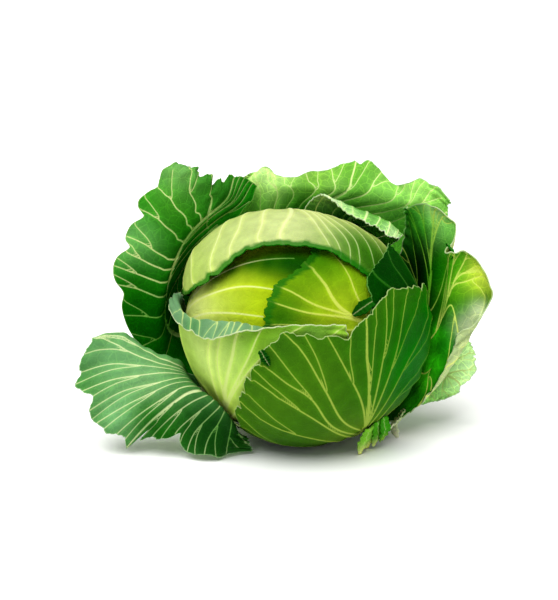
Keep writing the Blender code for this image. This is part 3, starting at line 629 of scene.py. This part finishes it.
# Small torn or curled strips of leaf. path: mm from the heart's centre; width and curl in mm.
SHREDS = {
    "shred_foot_left": dict(path=[(53, -44, -61), (51, -34, -74), (49, -25, -86)], width=10, curl=1.0,
                            colour="579a1e", tip="cbd670", slot="olive_leaf"),
    "shred_foot_middle": dict(path=[(56, -44, -59), (57, -32, -74), (55, -24, -85)], width=9, curl=-1.0,
                              colour="3c8a12", tip="c3d27a", slot="olive_leaf"),
    "shred_foot_right": dict(path=[(60, -43, -56), (62, -33, -70), (60, -20, -82)], width=10, curl=1.0,
                             colour="2f800c", tip="8cb83a", slot="olive_leaf"),
    "shred_foot_fringe": dict(path=[(50, -50, -62), (47, -42, -75), (44, -36, -87)], width=11,
                              curl=-1.0, colour="66a628", tip="d4dc84", slot="olive_leaf"),
    "shred_pale_low": dict(path=[(75, 0, -70), (71, -1, -77), (73, -4, -85)], width=11, curl=1.5,
                           colour="b3c28f", tip="ced4b6", slot="pale_leaf"),
    "shred_pale_high": dict(path=[(80, -1, -65), (75, -3, -72), (68, -9, -77)], width=9, curl=-1.5,
                            colour="a5ba7d", tip="cad3af", slot="pale_leaf"),
    "curl_on_heart_leaf": dict(path=[(49, -67, 38), (42, -70, 34), (35, -74, 30)], width=9, curl=1.0,
                               colour="0c4906", tip="083a03", slot="deep_leaf"),
    "curl_on_front_leaf": dict(path=[(-28, -89, 9), (-25, -91, 4), (-22, -91, -1)], width=6, curl=1.0,
                               colour="094106", tip="063503", slot="deep_leaf"),
    "curl_behind_right_leaf": dict(path=[(110, 14, 60), (114, 16, 54), (113, 16, 47)], width=9,
                                   curl=-1.0, colour="18670d", tip="115508", slot="outer_leaf"),
}
SHRED_LOOK = dict(vein="bfcb89", vein_strength=0.5, net=0.04, bloom=0.0, rim="b4c192", rim_width=0.0)


def place(azimuth, angle, lift):
    """The point at an azimuth round the stalk, an angle from it and a lift off the heart."""
    turn = np.radians(azimuth)[..., None]
    away = np.radians(angle)[..., None]
    sideways = np.cos(turn) * TO_RIGHT + np.sin(turn) * TO_FRONT
    way = np.cos(away) * STALK_WAY + np.sin(away) * sideways
    return way / np.linalg.norm(way / (HEART_HALF + np.asarray(lift)[..., None]), axis=-1, keepdims=True)


def curve(points, share):
    """Points at shares of the smooth curves through the second last axis of points."""
    last = points.shape[-2] - 1
    spot = np.minimum(np.clip(share, 0, 1) * last, last - 1e-9)
    start = spot.astype(int)
    t = (spot - start)[..., None]

    def point(number):
        number = np.clip(number, 0, last)[..., None, None]
        return np.take_along_axis(points, number, axis=-2)[..., 0, :]

    b = point(start)
    c = point(start + 1)
    a = np.where(start[..., None] > 0, point(start - 1), 2 * b - c)
    d = np.where(start[..., None] + 2 <= last, point(start + 2), 2 * c - b)
    return (2 * b + (c - a) * t + (2 * a - 5 * b + 4 * c - d) * t**2 + (3 * b - a - 3 * c + d) * t**3) / 2


def at_shares(points, shares):
    """Points at shares of one smooth curve."""
    return curve(np.broadcast_to(points, (len(shares), *np.shape(points))), shares)


def along_line(points, count):
    """Evenly shared points of one smooth curve."""
    return at_shares(np.asarray(points, float), np.linspace(0, 1, count))


def unit(vectors):
    """Vectors made one long."""
    return vectors / np.linalg.norm(vectors, axis=-1, keepdims=True)


def cage_of(leaf):
    """The leaf's cage: lines from foot to margin, each point as unit way and reach."""
    first, last, lift = leaf["foot"]
    sweep = (last - first + 180) % 360 - 180
    lines = np.array(leaf["lines"], float)
    azimuths = first + np.linspace(0, 1, len(lines)) * sweep
    reach = np.linalg.norm(place(np.array(0.0), np.array(0.0), lift))
    angle = math.degrees(math.asin((STALK_RADIUS + FOOT_GAP) / reach))
    feet = np.stack([azimuths, np.full(len(lines), angle), np.full(len(lines), lift)], axis=1)
    lines = np.concatenate([feet[:, None], lines], axis=1)
    points = place(lines[..., 0], lines[..., 1], lines[..., 2])
    reach = np.linalg.norm(points, axis=2, keepdims=True)
    return np.concatenate([points / reach, reach], axis=2)


def on_cage(cage, across, along):
    """Points of the sheet, from the heart's centre, at shares across and along the cage."""
    flat = cage.reshape(len(cage), -1)
    lines = curve(np.broadcast_to(flat, (*across.shape, *flat.shape)), across)
    mixed = curve(lines.reshape(*across.shape, cage.shape[1], 4), along)
    return unit(mixed[..., :3]) * mixed[..., 3:]


def scallop(share, count):
    """How far the margin is cut back at a share of its run: 0 to 1, and never quite regular."""
    turn = 2 * math.pi * share
    return 0.5 + 0.3 * np.sin(count * turn) + 0.2 * np.sin(1.7 * count * turn + 1.0)


def rough(share, count, draw):
    """An uneven wave along a margin, about -1 to 1, with this many swings or so."""
    random = np.random.default_rng(SEED + draw)
    total = np.zeros_like(share)
    for step in range(6):
        swings = count * random.uniform(0.5, 1.6)
        total += np.sin(2 * math.pi * (swings * share + random.random()))
    return total / 3


def nicks(share, draw):
    """Small lobes of a margin with finer nicks in them, about -1 to 1."""
    return rough(share, LOBES, draw) + NICK_DEPTH * rough(share, NICKS, draw + 10)


def bell(distance, half_width):
    """A soft bump: 1 at no distance, and nearly 0 from two half widths on."""
    return np.exp(-(distance / half_width) ** 2)


def side_strength(across):
    """How strongly the waves of the two side margins show: 1 at a side, 0 inside."""
    return np.maximum(0, 1 - np.minimum(across, 1 - across) / WAVE_REACH) ** 2


def tip_strength(along):
    """How strongly the waves of the tip show: 1 at the tip, 0 inside."""
    return np.maximum(0, 1 - (1 - along) / WAVE_REACH) ** 2


def margin_pace(cage, across):
    """How fast the tip margin runs at a share across, against its mean; below 1 where it bunches up."""
    shares = np.linspace(0, 1, 101)
    tip = on_cage(cage, shares, np.ones(len(shares)))
    pace = np.linalg.norm(np.gradient(tip, axis=0), axis=1)
    return np.interp(across, shares, np.minimum(pace / pace.mean(), 1) ** 1.5)


def cut_shares(leaf, look, cage, across, along):
    """Shares across and along, drawn in where the margin has scallops, teeth and notches."""
    tip_cut, side_cut, count = leaf["cut"]
    pace = margin_pace(cage, across) * stillness(look, across)
    teeth = look["ragged"] * nicks(across, TIP_TEETH_DRAW) * along**TOOTH_FADE * pace
    for share, depth, half_width in look["notches"]:
        teeth = teeth + depth * bell(across - share, half_width) * along**NOTCH_FADE
    aside = 2 * across - 1
    beside = np.abs(aside)
    side_teeth = look["ragged"] * nicks(along, SIDE_TEETH_DRAW) * along * beside**TOOTH_FADE
    for side, share, depth, half_width in look["side_notches"]:
        on_side = np.maximum(0, aside * (2 * side - 1)) ** SIDE_NOTCH_FADE
        side_teeth = side_teeth + depth * bell(along - share, half_width) * on_side
    narrowed = side_cut * scallop(along, count) * along * beside**SIDE_SCALLOP_FADE + side_teeth
    shortened = tip_cut * scallop(across, count) * along**SCALLOP_FADE * pace + teeth
    return 0.5 + (across - 0.5) * (1 - narrowed), along - shortened


def stillness(look, across):
    """1 where the margin has its teeth and waves, and less where the leaf is calm."""
    return 1 - look["calm"] * np.clip((across - CALM_FROM) / CALM_OVER, 0, 1)


def leaf_middle(leaf, look, cage, across, along):
    """Points of the middle of the blade, from the heart's centre, and its normals."""
    u, v = cut_shares(leaf, look, cage, across, along)
    step = 0.01
    ahead = on_cage(cage, u, np.minimum(v + step, 1)) - on_cage(cage, u, np.maximum(v - step, 0))
    aside = on_cage(cage, np.minimum(u + step, 1), v) - on_cage(cage, np.maximum(u - step, 0), v)
    normal = unit(np.cross(ahead, aside))
    waves_across, waves_along, height = leaf["waves"]
    side = side_strength(across)
    tip = tip_strength(along)
    phase = 2 * math.pi * (waves_across * across + waves_along * along)
    wave = height * np.sin(phase) * (side + tip - side * tip)
    side_ruffle = side**2 * rough(along, SIDE_RUFFLES, SIDE_RUFFLE_DRAW)
    tip_ruffle = tip**2 * rough(across, TIP_RUFFLES, TIP_RUFFLE_DRAW)
    free = np.clip((along - WAVES_FROM) / WAVES_OVER, 0, 1) * stillness(look, across)
    lift = (wave + look["ruffle"] * (side_ruffle + tip_ruffle)) * free
    return on_cage(cage, u, v) + normal * lift[..., None], normal


def heart_middle(across, along):
    """Points of the heart's skin and stalk, from the heart's centre, and its normals."""
    azimuth = across * 360
    cut_end = STALK_WAY * np.linalg.norm(place(np.array(0.0), np.array(0.0), STALK_LIFT))
    foot = math.degrees(math.asin(STALK_RADIUS / np.linalg.norm(place(np.array(0.0), np.array(0.0), 0.0))))
    turn = np.radians(azimuth)[..., None]
    sideways = np.cos(turn) * TO_RIGHT + np.sin(turn) * TO_FRONT
    disc = cut_end + sideways * STALK_RADIUS * np.clip(along / CUT_FACE_SHARE, 0, 1)[..., None]
    beyond = np.clip((along - STALK_SHARE) / (1 - STALK_SHARE), 0, 1)
    skin = place(azimuth, foot + beyond * (180 - foot), np.zeros_like(across))
    down = np.clip((along - CUT_FACE_SHARE) / (STALK_SHARE - CUT_FACE_SHARE), 0, 1)[..., None]
    points = np.where(along[..., None] < STALK_SHARE, disc + (skin - disc) * down, skin)
    return points, unit(points / HEART_HALF**2)


def fan_place(end):
    """Where a vein's end lies on the way round the margin, as a turn about the leaf's middle."""
    return -math.atan2(end[1] - 0.45, end[0] - 0.5) % (2 * math.pi) - (2 * math.pi if end[0] < 0.5 else 0)


def forked(veins, starts):
    """Forks: each leaves its vein at a share of it and runs up beside the next vein of the fan."""
    order = sorted(range(len(veins)), key=lambda number: fan_place(veins[number][-1]))
    forks = []
    for left, right in zip(order, order[1:]):
        near = along_line(veins[left], FORK_POINTS)
        far = along_line(veins[right], FORK_POINTS)
        for number, start in enumerate(starts):
            own, other = (near, far) if number % 2 == 0 else (far, near)
            first = int(FORK_POINTS * start * (0.9 if left % 2 else 1.0))
            gone = np.linspace(0, 1, FORK_POINTS - first)[:, None]
            forks.append(own[first:] + (other[first:] - own[first:]) * FORK_SPREAD[number] * gone ** 0.6)
    return forks


def run_out(line):
    """A vein given in percent, as shares; one that ends near a margin runs out to it."""
    line = np.array(line, float) / 100
    across, along = line[-1]
    if along > NEAR_TIP:
        line[-1, 1] = VEIN_END
    if across < NEAR_SIDE or across > 1 - NEAR_SIDE:
        line[-1, 0] = 1 - VEIN_END if across < 0.5 else VEIN_END
    return line


def vein_samples(lines, half_widths):
    """Close points along all veins: place, way along the vein and the rib's half width."""
    ways = np.concatenate([np.gradient(points, axis=0) for points in lines])
    ways = ways / np.maximum(np.linalg.norm(ways, axis=1, keepdims=True), 1e-9)
    halves = [np.linspace(first, last, len(points)) for points, (first, last) in zip(lines, half_widths)]
    return np.concatenate(lines), ways, np.concatenate(halves)


def leaf_veins(look, lay):
    """Close points along a leaf's midrib, side veins and forks, as lay puts them on it."""
    veins = [run_out(line) for line in look["veins"]]
    forks = forked(veins, look["forks"])
    lines = [along_line(veins[0], MIDRIB_POINTS)]
    lines += [along_line(line, VEIN_POINTS) for line in veins[1:] + forks]
    half_widths = [MIDRIB] + [SIDE_VEIN] * (len(veins) - 1) + [FORK_VEIN] * len(forks)
    return vein_samples([lay(line) for line in lines], half_widths)


def beside_veins(points, normals, samples):
    """For each point: how far it is to the side of the nearest vein, from it, and its half width."""
    places, ways, halves = samples
    tree = kdtree.KDTree(len(places))
    for number, point in enumerate(places):
        tree.insert(point, number)
    tree.balance()
    found = [tree.find(point) for point in points]
    nearest = np.array([entry[1] for entry in found])
    near = np.array([entry[2] for entry in found])
    side = np.einsum("ij,ij->i", points - places[nearest], np.cross(normals, ways[nearest]))
    side = np.where(near > SIDE_KNOWN, near, side)
    return side, np.minimum(near, VEIN_KNOWN), halves[nearest]


def relief(near, half, puff):
    """How far the blade stands up between veins and the ribs stand out of it, together."""
    between = np.clip((near - half) / PUFF_REACH, 0, 1)
    rib = np.maximum(0, 1 - (near / (half * 1.4)) ** 2)
    return puff * between * (2 - between) - RIB_HEIGHT * rib * half / MIDRIB[0]


def to_linear(hex_colour):
    """A colour written as sRGB hex, as the linear values that a shader takes."""
    channels = [int(hex_colour[i:i + 2], 16) / 255 for i in (0, 2, 4)]
    return [c / 12.92 if c <= 0.04045 else ((c + 0.055) / 1.055) ** 2.4 for c in channels] + [1.0]


def inside(points, centre, reach, strength):
    """How far each point is inside a soft round spot, 0 to its strength."""
    return strength * np.exp(-np.sum((points - centre) ** 2, axis=1) / reach**2)


def painted(points, base, spots):
    """The blade's own colour at each point: a base colour with soft spots of others."""
    colour = np.tile(np.array(to_linear(base)), (len(points), 1))
    for centre, reach, hex_colour, strength in spots:
        weight = inside(points, centre, reach, strength)
        colour += (np.array(to_linear(hex_colour)) - colour) * weight[:, None]
    return colour


def painted_shade_share(points, spots):
    """How far each point lies in painted deep shade, 0 to 1."""
    light = np.ones(len(points))
    for centre, reach, strength in spots:
        light *= 1 - inside(points, centre, reach, strength)
    return 1 - light


def node(tree, kind, inputs, **settings):
    """One shader node with its settings; an input is a value, or a socket to link from."""
    made = tree.nodes.new("ShaderNode" + kind)
    for name, value in settings.items():
        setattr(made, name, value)
    for name, value in inputs.items():
        if isinstance(value, bpy.types.NodeSocket):
            tree.links.new(value, made.inputs[name])
        else:
            made.inputs[name].default_value = value
    return made


def ramp(value, low, high, first, last):
    """Inputs that turn a value from low to high into one from first to last, and no further."""
    return {"Value": value, "From Min": low, "From Max": high, "To Min": first, "To Max": last}


def leaf_skin(name, tone, look, roughness, shaded=True):
    """Living leaf skin under a thin coat of wax: satin, a little see-through, netted with small
    veins that lie in fine creases, with paler main veins, a margin of its own colour and, on a
    shaded face, painted deep shade."""
    material = bpy.data.materials.new(name)
    material.use_nodes = True
    tree = material.node_tree
    shader = tree.nodes["Principled BSDF"]
    place_on = node(tree, "TexCoord", {}).outputs["Object"]
    side, near, half, margin = (node(tree, "Attribute", {}, attribute_name=kept).outputs["Fac"]
                                for kept in ("vein_side", "vein_near", "vein_half", "margin"))

    # Two nets of small veins, bent so that no cell is regular.
    drift = node(tree, "TexNoise", {"Vector": place_on, "Scale": 1 / (DRIFT * MM), "Detail": 2.0})
    pushed = node(tree, "VectorMath", {0: drift.outputs["Color"], 1: (0.004, 0.004, 0.004)},
                  operation="MULTIPLY")
    spot = node(tree, "VectorMath", {0: place_on, 1: pushed.outputs[0]}, operation="ADD").outputs[0]
    net = node(tree, "TexVoronoi", {"Vector": spot, "Scale": 1 / (NET_CELL * MM)},
               feature="DISTANCE_TO_EDGE")
    net_line = node(tree, "MapRange", ramp(net.outputs["Distance"], 0.015, 0.065, 1.0, 0.0)).outputs[0]
    fine = node(tree, "TexVoronoi", {"Vector": spot, "Scale": 1 / (FINE_NET_CELL * MM)},
                feature="DISTANCE_TO_EDGE")
    fine_line = node(tree, "MapRange", ramp(fine.outputs["Distance"], 0.02, 0.12, 1.0, 0.0)).outputs[0]

    # The main veins, with a soft edge, and only where the nearest one is truly near.
    width = node(tree, "Math", {0: side}, operation="ABSOLUTE").outputs[0]
    beyond = node(tree, "Math", {0: width, 1: half}, operation="SUBTRACT").outputs[0]
    line = node(tree, "MapRange", ramp(beyond, -0.35, 0.35, 1.0, 0.0)).outputs[0]
    clear = node(tree, "Math", {0: near, 1: half}, operation="SUBTRACT").outputs[0]
    close = node(tree, "MapRange", ramp(clear, 0.5, 0.9, 1.0, 0.0)).outputs[0]
    vein = node(tree, "Math", {0: line, 1: close}, operation="MULTIPLY").outputs[0]
    veined = node(tree, "Math", {0: vein, 1: look["vein_strength"]}, operation="MULTIPLY").outputs[0]

    # The blade's own colour, mottled, and dull in places with bloom.
    mottle = node(tree, "TexNoise", {"Vector": place_on, "Scale": 1 / (MOTTLE * MM), "Detail": 4.0})
    mottle = mottle.outputs["Fac"]
    shade = node(tree, "MapRange", ramp(mottle, 0.3, 0.7, 0.88, 1.1)).outputs[0]
    blade = node(tree, "Attribute", {}, attribute_name=tone).outputs["Color"]
    blade = node(tree, "VectorMath", {0: blade, 3: shade}, operation="SCALE").outputs[0]
    cloud = node(tree, "TexNoise", {"Vector": place_on, "Scale": 1 / (BLOOM_CLOUD * MM), "Detail": 3.0})
    dust = node(tree, "MapRange", ramp(cloud.outputs["Fac"], 0.35, 0.7, 0.0, look["bloom"])).outputs[0]
    blade = node(tree, "Mix", {0: dust, 6: blade, 7: to_linear(BLOOM)}, data_type="RGBA").outputs[2]

    # Lighter and yellower along the small veins and beside the main ones, then the veins.
    glow = node(tree, "MapRange", ramp(near, 0.0, GLOW_REACH, GLOW, 0.0)).outputs[0]
    fine_net = node(tree, "Math", {0: fine_line, 1: 0.3}, operation="MULTIPLY").outputs[0]
    netting = node(tree, "Math", {0: net_line, 1: fine_net}, operation="MAXIMUM").outputs[0]
    lighter = node(tree, "Math", {0: netting, 1: look["net"] * 1.6}, operation="MULTIPLY").outputs[0]
    lighter = node(tree, "Math", {0: glow, 1: lighter}, operation="ADD").outputs[0]
    lit = node(tree, "VectorMath", {0: blade, 1: SAP_HUE}, operation="MULTIPLY").outputs[0]
    lit = node(tree, "VectorMath", {0: lit, 3: lighter}, operation="SCALE").outputs[0]
    blade = node(tree, "VectorMath", {0: blade, 1: lit}, operation="ADD").outputs[0]
    blade = node(tree, "Mix", {0: veined, 6: blade, 7: to_linear(look["vein"])},
                 data_type="RGBA").outputs[2]

    # The margin's own colour, in a band of uneven width, and painted deep shade over all on a shaded face.
    rim_width = look["rim_width"]
    uneven = node(tree, "Math", {0: mottle, 1: rim_width, 2: margin}, operation="MULTIPLY_ADD").outputs[0]
    edge = node(tree, "MapRange", ramp(uneven, rim_width * 1.1, rim_width * 1.7 + 0.01, 0.9, 0.0))
    blade = node(tree, "Mix", {0: edge.outputs[0], 6: blade, 7: to_linear(look["rim"])},
                 data_type="RGBA").outputs[2]
    if shaded:
        deep = node(tree, "Attribute", {}, attribute_name="deep").outputs["Fac"]
        blade = node(tree, "Mix", {0: deep, 6: blade, 7: PAINTED_SHADE_TINT}, data_type="RGBA",
                     blend_type="MULTIPLY").outputs[2]

    # Both nets are creased into a skin with a fine grain.
    grain = node(tree, "TexNoise", {"Vector": place_on, "Scale": 1 / (GRAIN * MM), "Detail": 2.0})
    height = node(tree, "Math", {0: net_line, 1: -0.7, 2: grain.outputs["Fac"]},
                  operation="MULTIPLY_ADD").outputs[0]
    height = node(tree, "Math", {0: fine_line, 1: -0.35, 2: height}, operation="MULTIPLY_ADD").outputs[0]
    bump = node(tree, "Bump", {"Height": height, "Distance": CREASE * MM, "Strength": 0.7})
    tree.links.new(blade, shader.inputs["Base Color"])
    tree.links.new(bump.outputs["Normal"], shader.inputs["Normal"])
    shader.inputs["Roughness"].default_value = roughness
    shader.inputs["IOR"].default_value = 1.42
    shader.inputs["Specular IOR Level"].default_value = 0.02
    shader.inputs["Specular Tint"].default_value = (0.35, 0.6, 0.3, 1.0)
    shader.inputs["Subsurface Weight"].default_value = 0.08
    shader.inputs["Subsurface Radius"].default_value = (0.6, 1.0, 0.2)
    shader.inputs["Subsurface Scale"].default_value = 2 * MM
    return material


def keep_values(mesh, values):
    """Store named numbers, or colours, on the points of a mesh."""
    for name, array in values.items():
        kind, key = ("FLOAT_COLOR", "color") if array.ndim == 2 else ("FLOAT", "value")
        layer = mesh.attributes.new(name, kind, "POINT")
        layer.data.foreach_set(key, array.astype(np.float32).ravel())


def points_of(mesh):
    """The places of a mesh's vertices."""
    places = np.empty(3 * len(mesh.vertices))
    mesh.vertices.foreach_get("co", places)
    return places.reshape(-1, 3)


def set_points(mesh, points):
    """Move a mesh's vertices to points given in mm from the heart's centre."""
    mesh.vertices.foreach_set("co", ((points + CENTRE) * MM).ravel())
    mesh.update()


def above_floor(points, clearance):
    """The points of a blade's middle, none so low that the blade comes nearer to the floor."""
    points[:, 2] = np.maximum(points[:, 2], BLADE / 2 + clearance - REST_HEIGHT)
    return points


def named(name):
    """The new piece and its mesh, both given their name."""
    piece = bpy.context.active_object
    piece.name = name
    piece.data.name = name
    return piece, piece.data


def new_sheet(name, columns, rows):
    """A flat grid, its mesh, and its vertices' shares across and along."""
    bpy.ops.object.select_all(action="DESELECT")
    bpy.ops.mesh.primitive_grid_add(x_subdivisions=columns, y_subdivisions=rows, size=1)
    sheet, mesh = named(name)
    flat = points_of(mesh)
    return sheet, mesh, flat[:, 0] + 0.5, flat[:, 1] + 0.5


def thicken(sheet, back_slot):
    """Give a sheet a blade's thickness, with its back face in another material slot."""
    wall = sheet.modifiers.new("Blade", "SOLIDIFY")
    wall.thickness = BLADE * MM
    wall.offset = 0
    wall.material_offset = back_slot
    bpy.ops.object.modifier_apply(modifier=wall.name)
    bpy.ops.object.shade_smooth()


def margin_distance(points, columns, rows):
    """How far each point of a grid is from its free margins, in mm, along the grid's lines."""
    grid = points.reshape(rows + 1, columns + 1, 3)
    steps_up = np.linalg.norm(np.diff(grid, axis=0), axis=2)
    steps_over = np.linalg.norm(np.diff(grid, axis=1), axis=2)
    up = np.zeros(grid.shape[:2])
    up[:-1] = np.cumsum(steps_up[::-1], axis=0)[::-1]
    left = np.zeros(grid.shape[:2])
    left[:, 1:] = np.cumsum(steps_over, axis=1)
    right = np.zeros(grid.shape[:2])
    right[:, :-1] = np.cumsum(steps_over[:, ::-1], axis=1)[:, ::-1]
    return np.minimum(np.minimum(up, left), np.minimum(right, MARGIN_KNOWN)).ravel()


def build_leaf(name):
    """One leaf: a sheet over its cage, with ribs and puffed blade, given its thickness."""
    leaf = LEAVES[name]
    look = {**PLAIN_LEAF, **LOOKS[name]}
    columns, rows = look["cells"]
    piece, mesh, across, along = new_sheet(name + "_blade", columns, rows)
    cage = cage_of(leaf)
    points, normals = leaf_middle(leaf, look, cage, across, along)
    first, last, _ = leaf["foot"]
    rolls_back = (last - first + 180) % 360 > 180
    to_inside = -1 if rolls_back else 1

    def lay(shares):
        return leaf_middle(leaf, look, cage, shares[:, 0], shares[:, 1])[0]

    def laid(spots):
        return [(lay(np.array([[u, v]]) / 100)[0], *rest) for u, v, *rest in spots]

    margin = margin_distance(points, columns, rows)
    side, near, half = beside_veins(points, normals, leaf_veins(look, lay))
    puff = look["puff"] * np.clip(margin / PUFF_MARGIN, 0.25, 1) * np.clip(along * 4, 0, 1)
    points = points + normals * (to_inside * relief(near, half, puff))[:, None]
    points = above_floor(points, 0 if name == CARRYING_LEAF else FLOOR_CLEARANCE)
    set_points(mesh, points)
    # deep holds the painted deep shade.
    keep_values(mesh, dict(vein_side=side, vein_near=near, vein_half=half, margin=margin,
                           deep=painted_shade_share(points, laid(look["deep"])),
                           inner_tone=painted(points, look["inner"], laid(look["inner_spots"])),
                           outer_tone=painted(points, look["outer"], laid(look["outer_spots"]))))
    skins = [leaf_skin(f"{name}_{face}_leaf_skin", face + "_tone", look, roughness, face in look["shaded"])
             for face, roughness in ROUGHNESS.items()]
    for skin in skins if rolls_back else reversed(skins):
        mesh.materials.append(skin)
    thicken(piece, 1)
    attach(piece, "root")
    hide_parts(name)


def build_heart():
    """The dense heart with its veined skin, and its cut stalk."""
    look = HEART_LOOK
    segments, rings = look["cells"]
    bpy.ops.object.select_all(action="DESELECT")
    bpy.ops.mesh.primitive_uv_sphere_add(segments=segments, ring_count=rings, radius=1)
    piece, mesh = named("heart_flesh")
    ball = points_of(mesh)
    along = np.degrees(np.arccos(np.clip(ball[:, 2], -1, 1))) / 180
    across = (np.degrees(np.arctan2(ball[:, 1], ball[:, 0])) % 360) / 360
    points, normals = heart_middle(across, along)
    lines = [along_line(place(*np.array(line, float).T, 0.0), MIDRIB_POINTS) for line in look["veins"]]
    lines = [line / np.linalg.norm(line / HEART_HALF, axis=1, keepdims=True) for line in lines]
    samples = vein_samples(lines, [HEART_VEIN] * len(lines))
    side, near, half = beside_veins(points, normals, samples)
    points = points - normals * np.where(along > STALK_SHARE + 0.02, HEART_SUNK, 0.0)[:, None]
    set_points(mesh, points)

    def laid(spots):
        return [(place(np.array(float(azimuth)), np.array(float(angle)), 0.0), *rest)
                for azimuth, angle, *rest in spots]

    tone = painted(points, look["outer"], laid(look["outer_spots"]))
    tone[along < CUT_FACE_SHARE + 0.01] = to_linear(look["cut_face"])
    # deep holds the painted deep shade.
    keep_values(mesh, dict(vein_side=side, vein_near=near, vein_half=half,
                           margin=np.full(len(points), MARGIN_KNOWN),
                           outer_tone=tone, deep=painted_shade_share(points, laid(look["deep"]))))
    bpy.ops.object.mode_set(mode="EDIT")
    bpy.ops.mesh.select_all(action="SELECT")
    bpy.ops.mesh.normals_make_consistent(inside=False)
    bpy.ops.object.mode_set(mode="OBJECT")
    bpy.ops.object.shade_smooth()
    mesh.materials.append(leaf_skin("heart_leaf_skin", "outer_tone", look, HEART_ROUGHNESS))
    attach(piece, "root")
    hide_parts("heart")


def build_shred(name):
    """A small torn or curled strip of leaf along a path."""
    shred = SHREDS[name]
    piece, mesh, across, along = new_sheet(name, 14, 48)
    path = np.array(shred["path"], float)
    spine = at_shares(path, along)
    way = np.where(along[:, None] < 0.97, at_shares(path, along + 0.02) - spine, path[-1] - path[-2])
    outwards = unit(spine)
    aside = unit(np.cross(way, outwards))
    beside = 2 * across - 1
    side = beside * shred["width"] / 2 * np.sin(math.pi * (0.14 + 0.82 * along)) ** 0.7
    side = side * (1 + 0.12 * rough(along, 3, SHRED_EDGE_DRAW) * np.abs(beside))
    lift = shred["curl"] * beside**2 + 0.5 * rough(along, 4, SHRED_BEND_DRAW)
    points = above_floor(spine + aside * side[:, None] + outwards * lift[:, None], FLOOR_CLEARANCE)
    set_points(mesh, points)
    tip = [(path[-1], 9, shred["tip"], 0.9)]
    keep_values(mesh, dict(vein_side=side, vein_near=np.abs(side), vein_half=np.full(len(side), SHRED_VEIN),
                           margin=np.full(len(side), MARGIN_KNOWN), deep=np.zeros(len(side)),
                           outer_tone=painted(points, shred["colour"], tip)))
    mesh.materials.append(leaf_skin(name + "_leaf_skin", "outer_tone", SHRED_LOOK, SHRED_ROUGHNESS))
    thicken(piece, 0)
    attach(piece, "root")


def matt_floor():
    """A wide, plain, nearly white floor of matt paper, which throws soft light back up."""
    bpy.ops.object.select_all(action="DESELECT")
    bpy.ops.mesh.primitive_plane_add(size=FLOOR_SIZE)
    floor, mesh = named("studio_floor")
    paper = bpy.data.materials.new("matt_white_paper")
    paper.use_nodes = True
    shader = paper.node_tree.nodes["Principled BSDF"]
    shader.inputs["Base Color"].default_value = to_linear("fbfbfa")
    shader.inputs["Roughness"].default_value = 0.9
    shader.inputs["Specular IOR Level"].default_value = 0.1
    mesh.materials.append(paper)


def studio():
    """White surroundings, and one very soft lamp above, to the left and a little in front."""
    world = bpy.data.worlds.new("white_studio")
    bpy.context.scene.world = world
    world.use_nodes = True
    backdrop = world.node_tree.nodes["Background"]
    backdrop.inputs["Color"].default_value = (1.0, 1.0, 1.0, 1.0)
    backdrop.inputs["Strength"].default_value = SURROUND_STRENGTH
    lamp = bpy.data.lights.new("key_lamp", "SUN")
    lamp.angle = math.radians(LAMP_SPREAD)
    lamp.energy = LAMP_STRENGTH
    holder = bpy.data.objects.new("key_lamp", lamp)
    bpy.context.scene.collection.objects.link(holder)
    holder.rotation_euler = Vector(LAMP_WAY).to_track_quat("-Z", "Y").to_euler()
    bpy.context.scene.view_settings.view_transform = "Standard"


def camera():
    """The photograph's view: from a little above, with a long lens."""
    drop = math.radians(VIEW_DROP)
    ahead = np.array([0, math.cos(drop), -math.sin(drop)])
    upwards = np.array([0, math.sin(drop), math.cos(drop)])
    spot = CENTRE - ahead * VIEW_DISTANCE + TO_RIGHT * VIEW_RIGHT + upwards * VIEW_UP
    lens = bpy.data.cameras.new("camera")
    lens.lens = LENS
    holder = bpy.data.objects.new("camera", lens)
    bpy.context.scene.collection.objects.link(holder)
    holder.location = spot * MM
    holder.rotation_euler = Vector(ahead).to_track_quat("-Z", "Y").to_euler()
    bpy.context.scene.camera = holder


def main():
    """Dress the solids and set the stage."""
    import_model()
    build_heart()
    for name in LEAVES:
        build_leaf(name)
    for name in SHREDS:
        build_shred(name)
    matt_floor()
    studio()
    camera()


main()
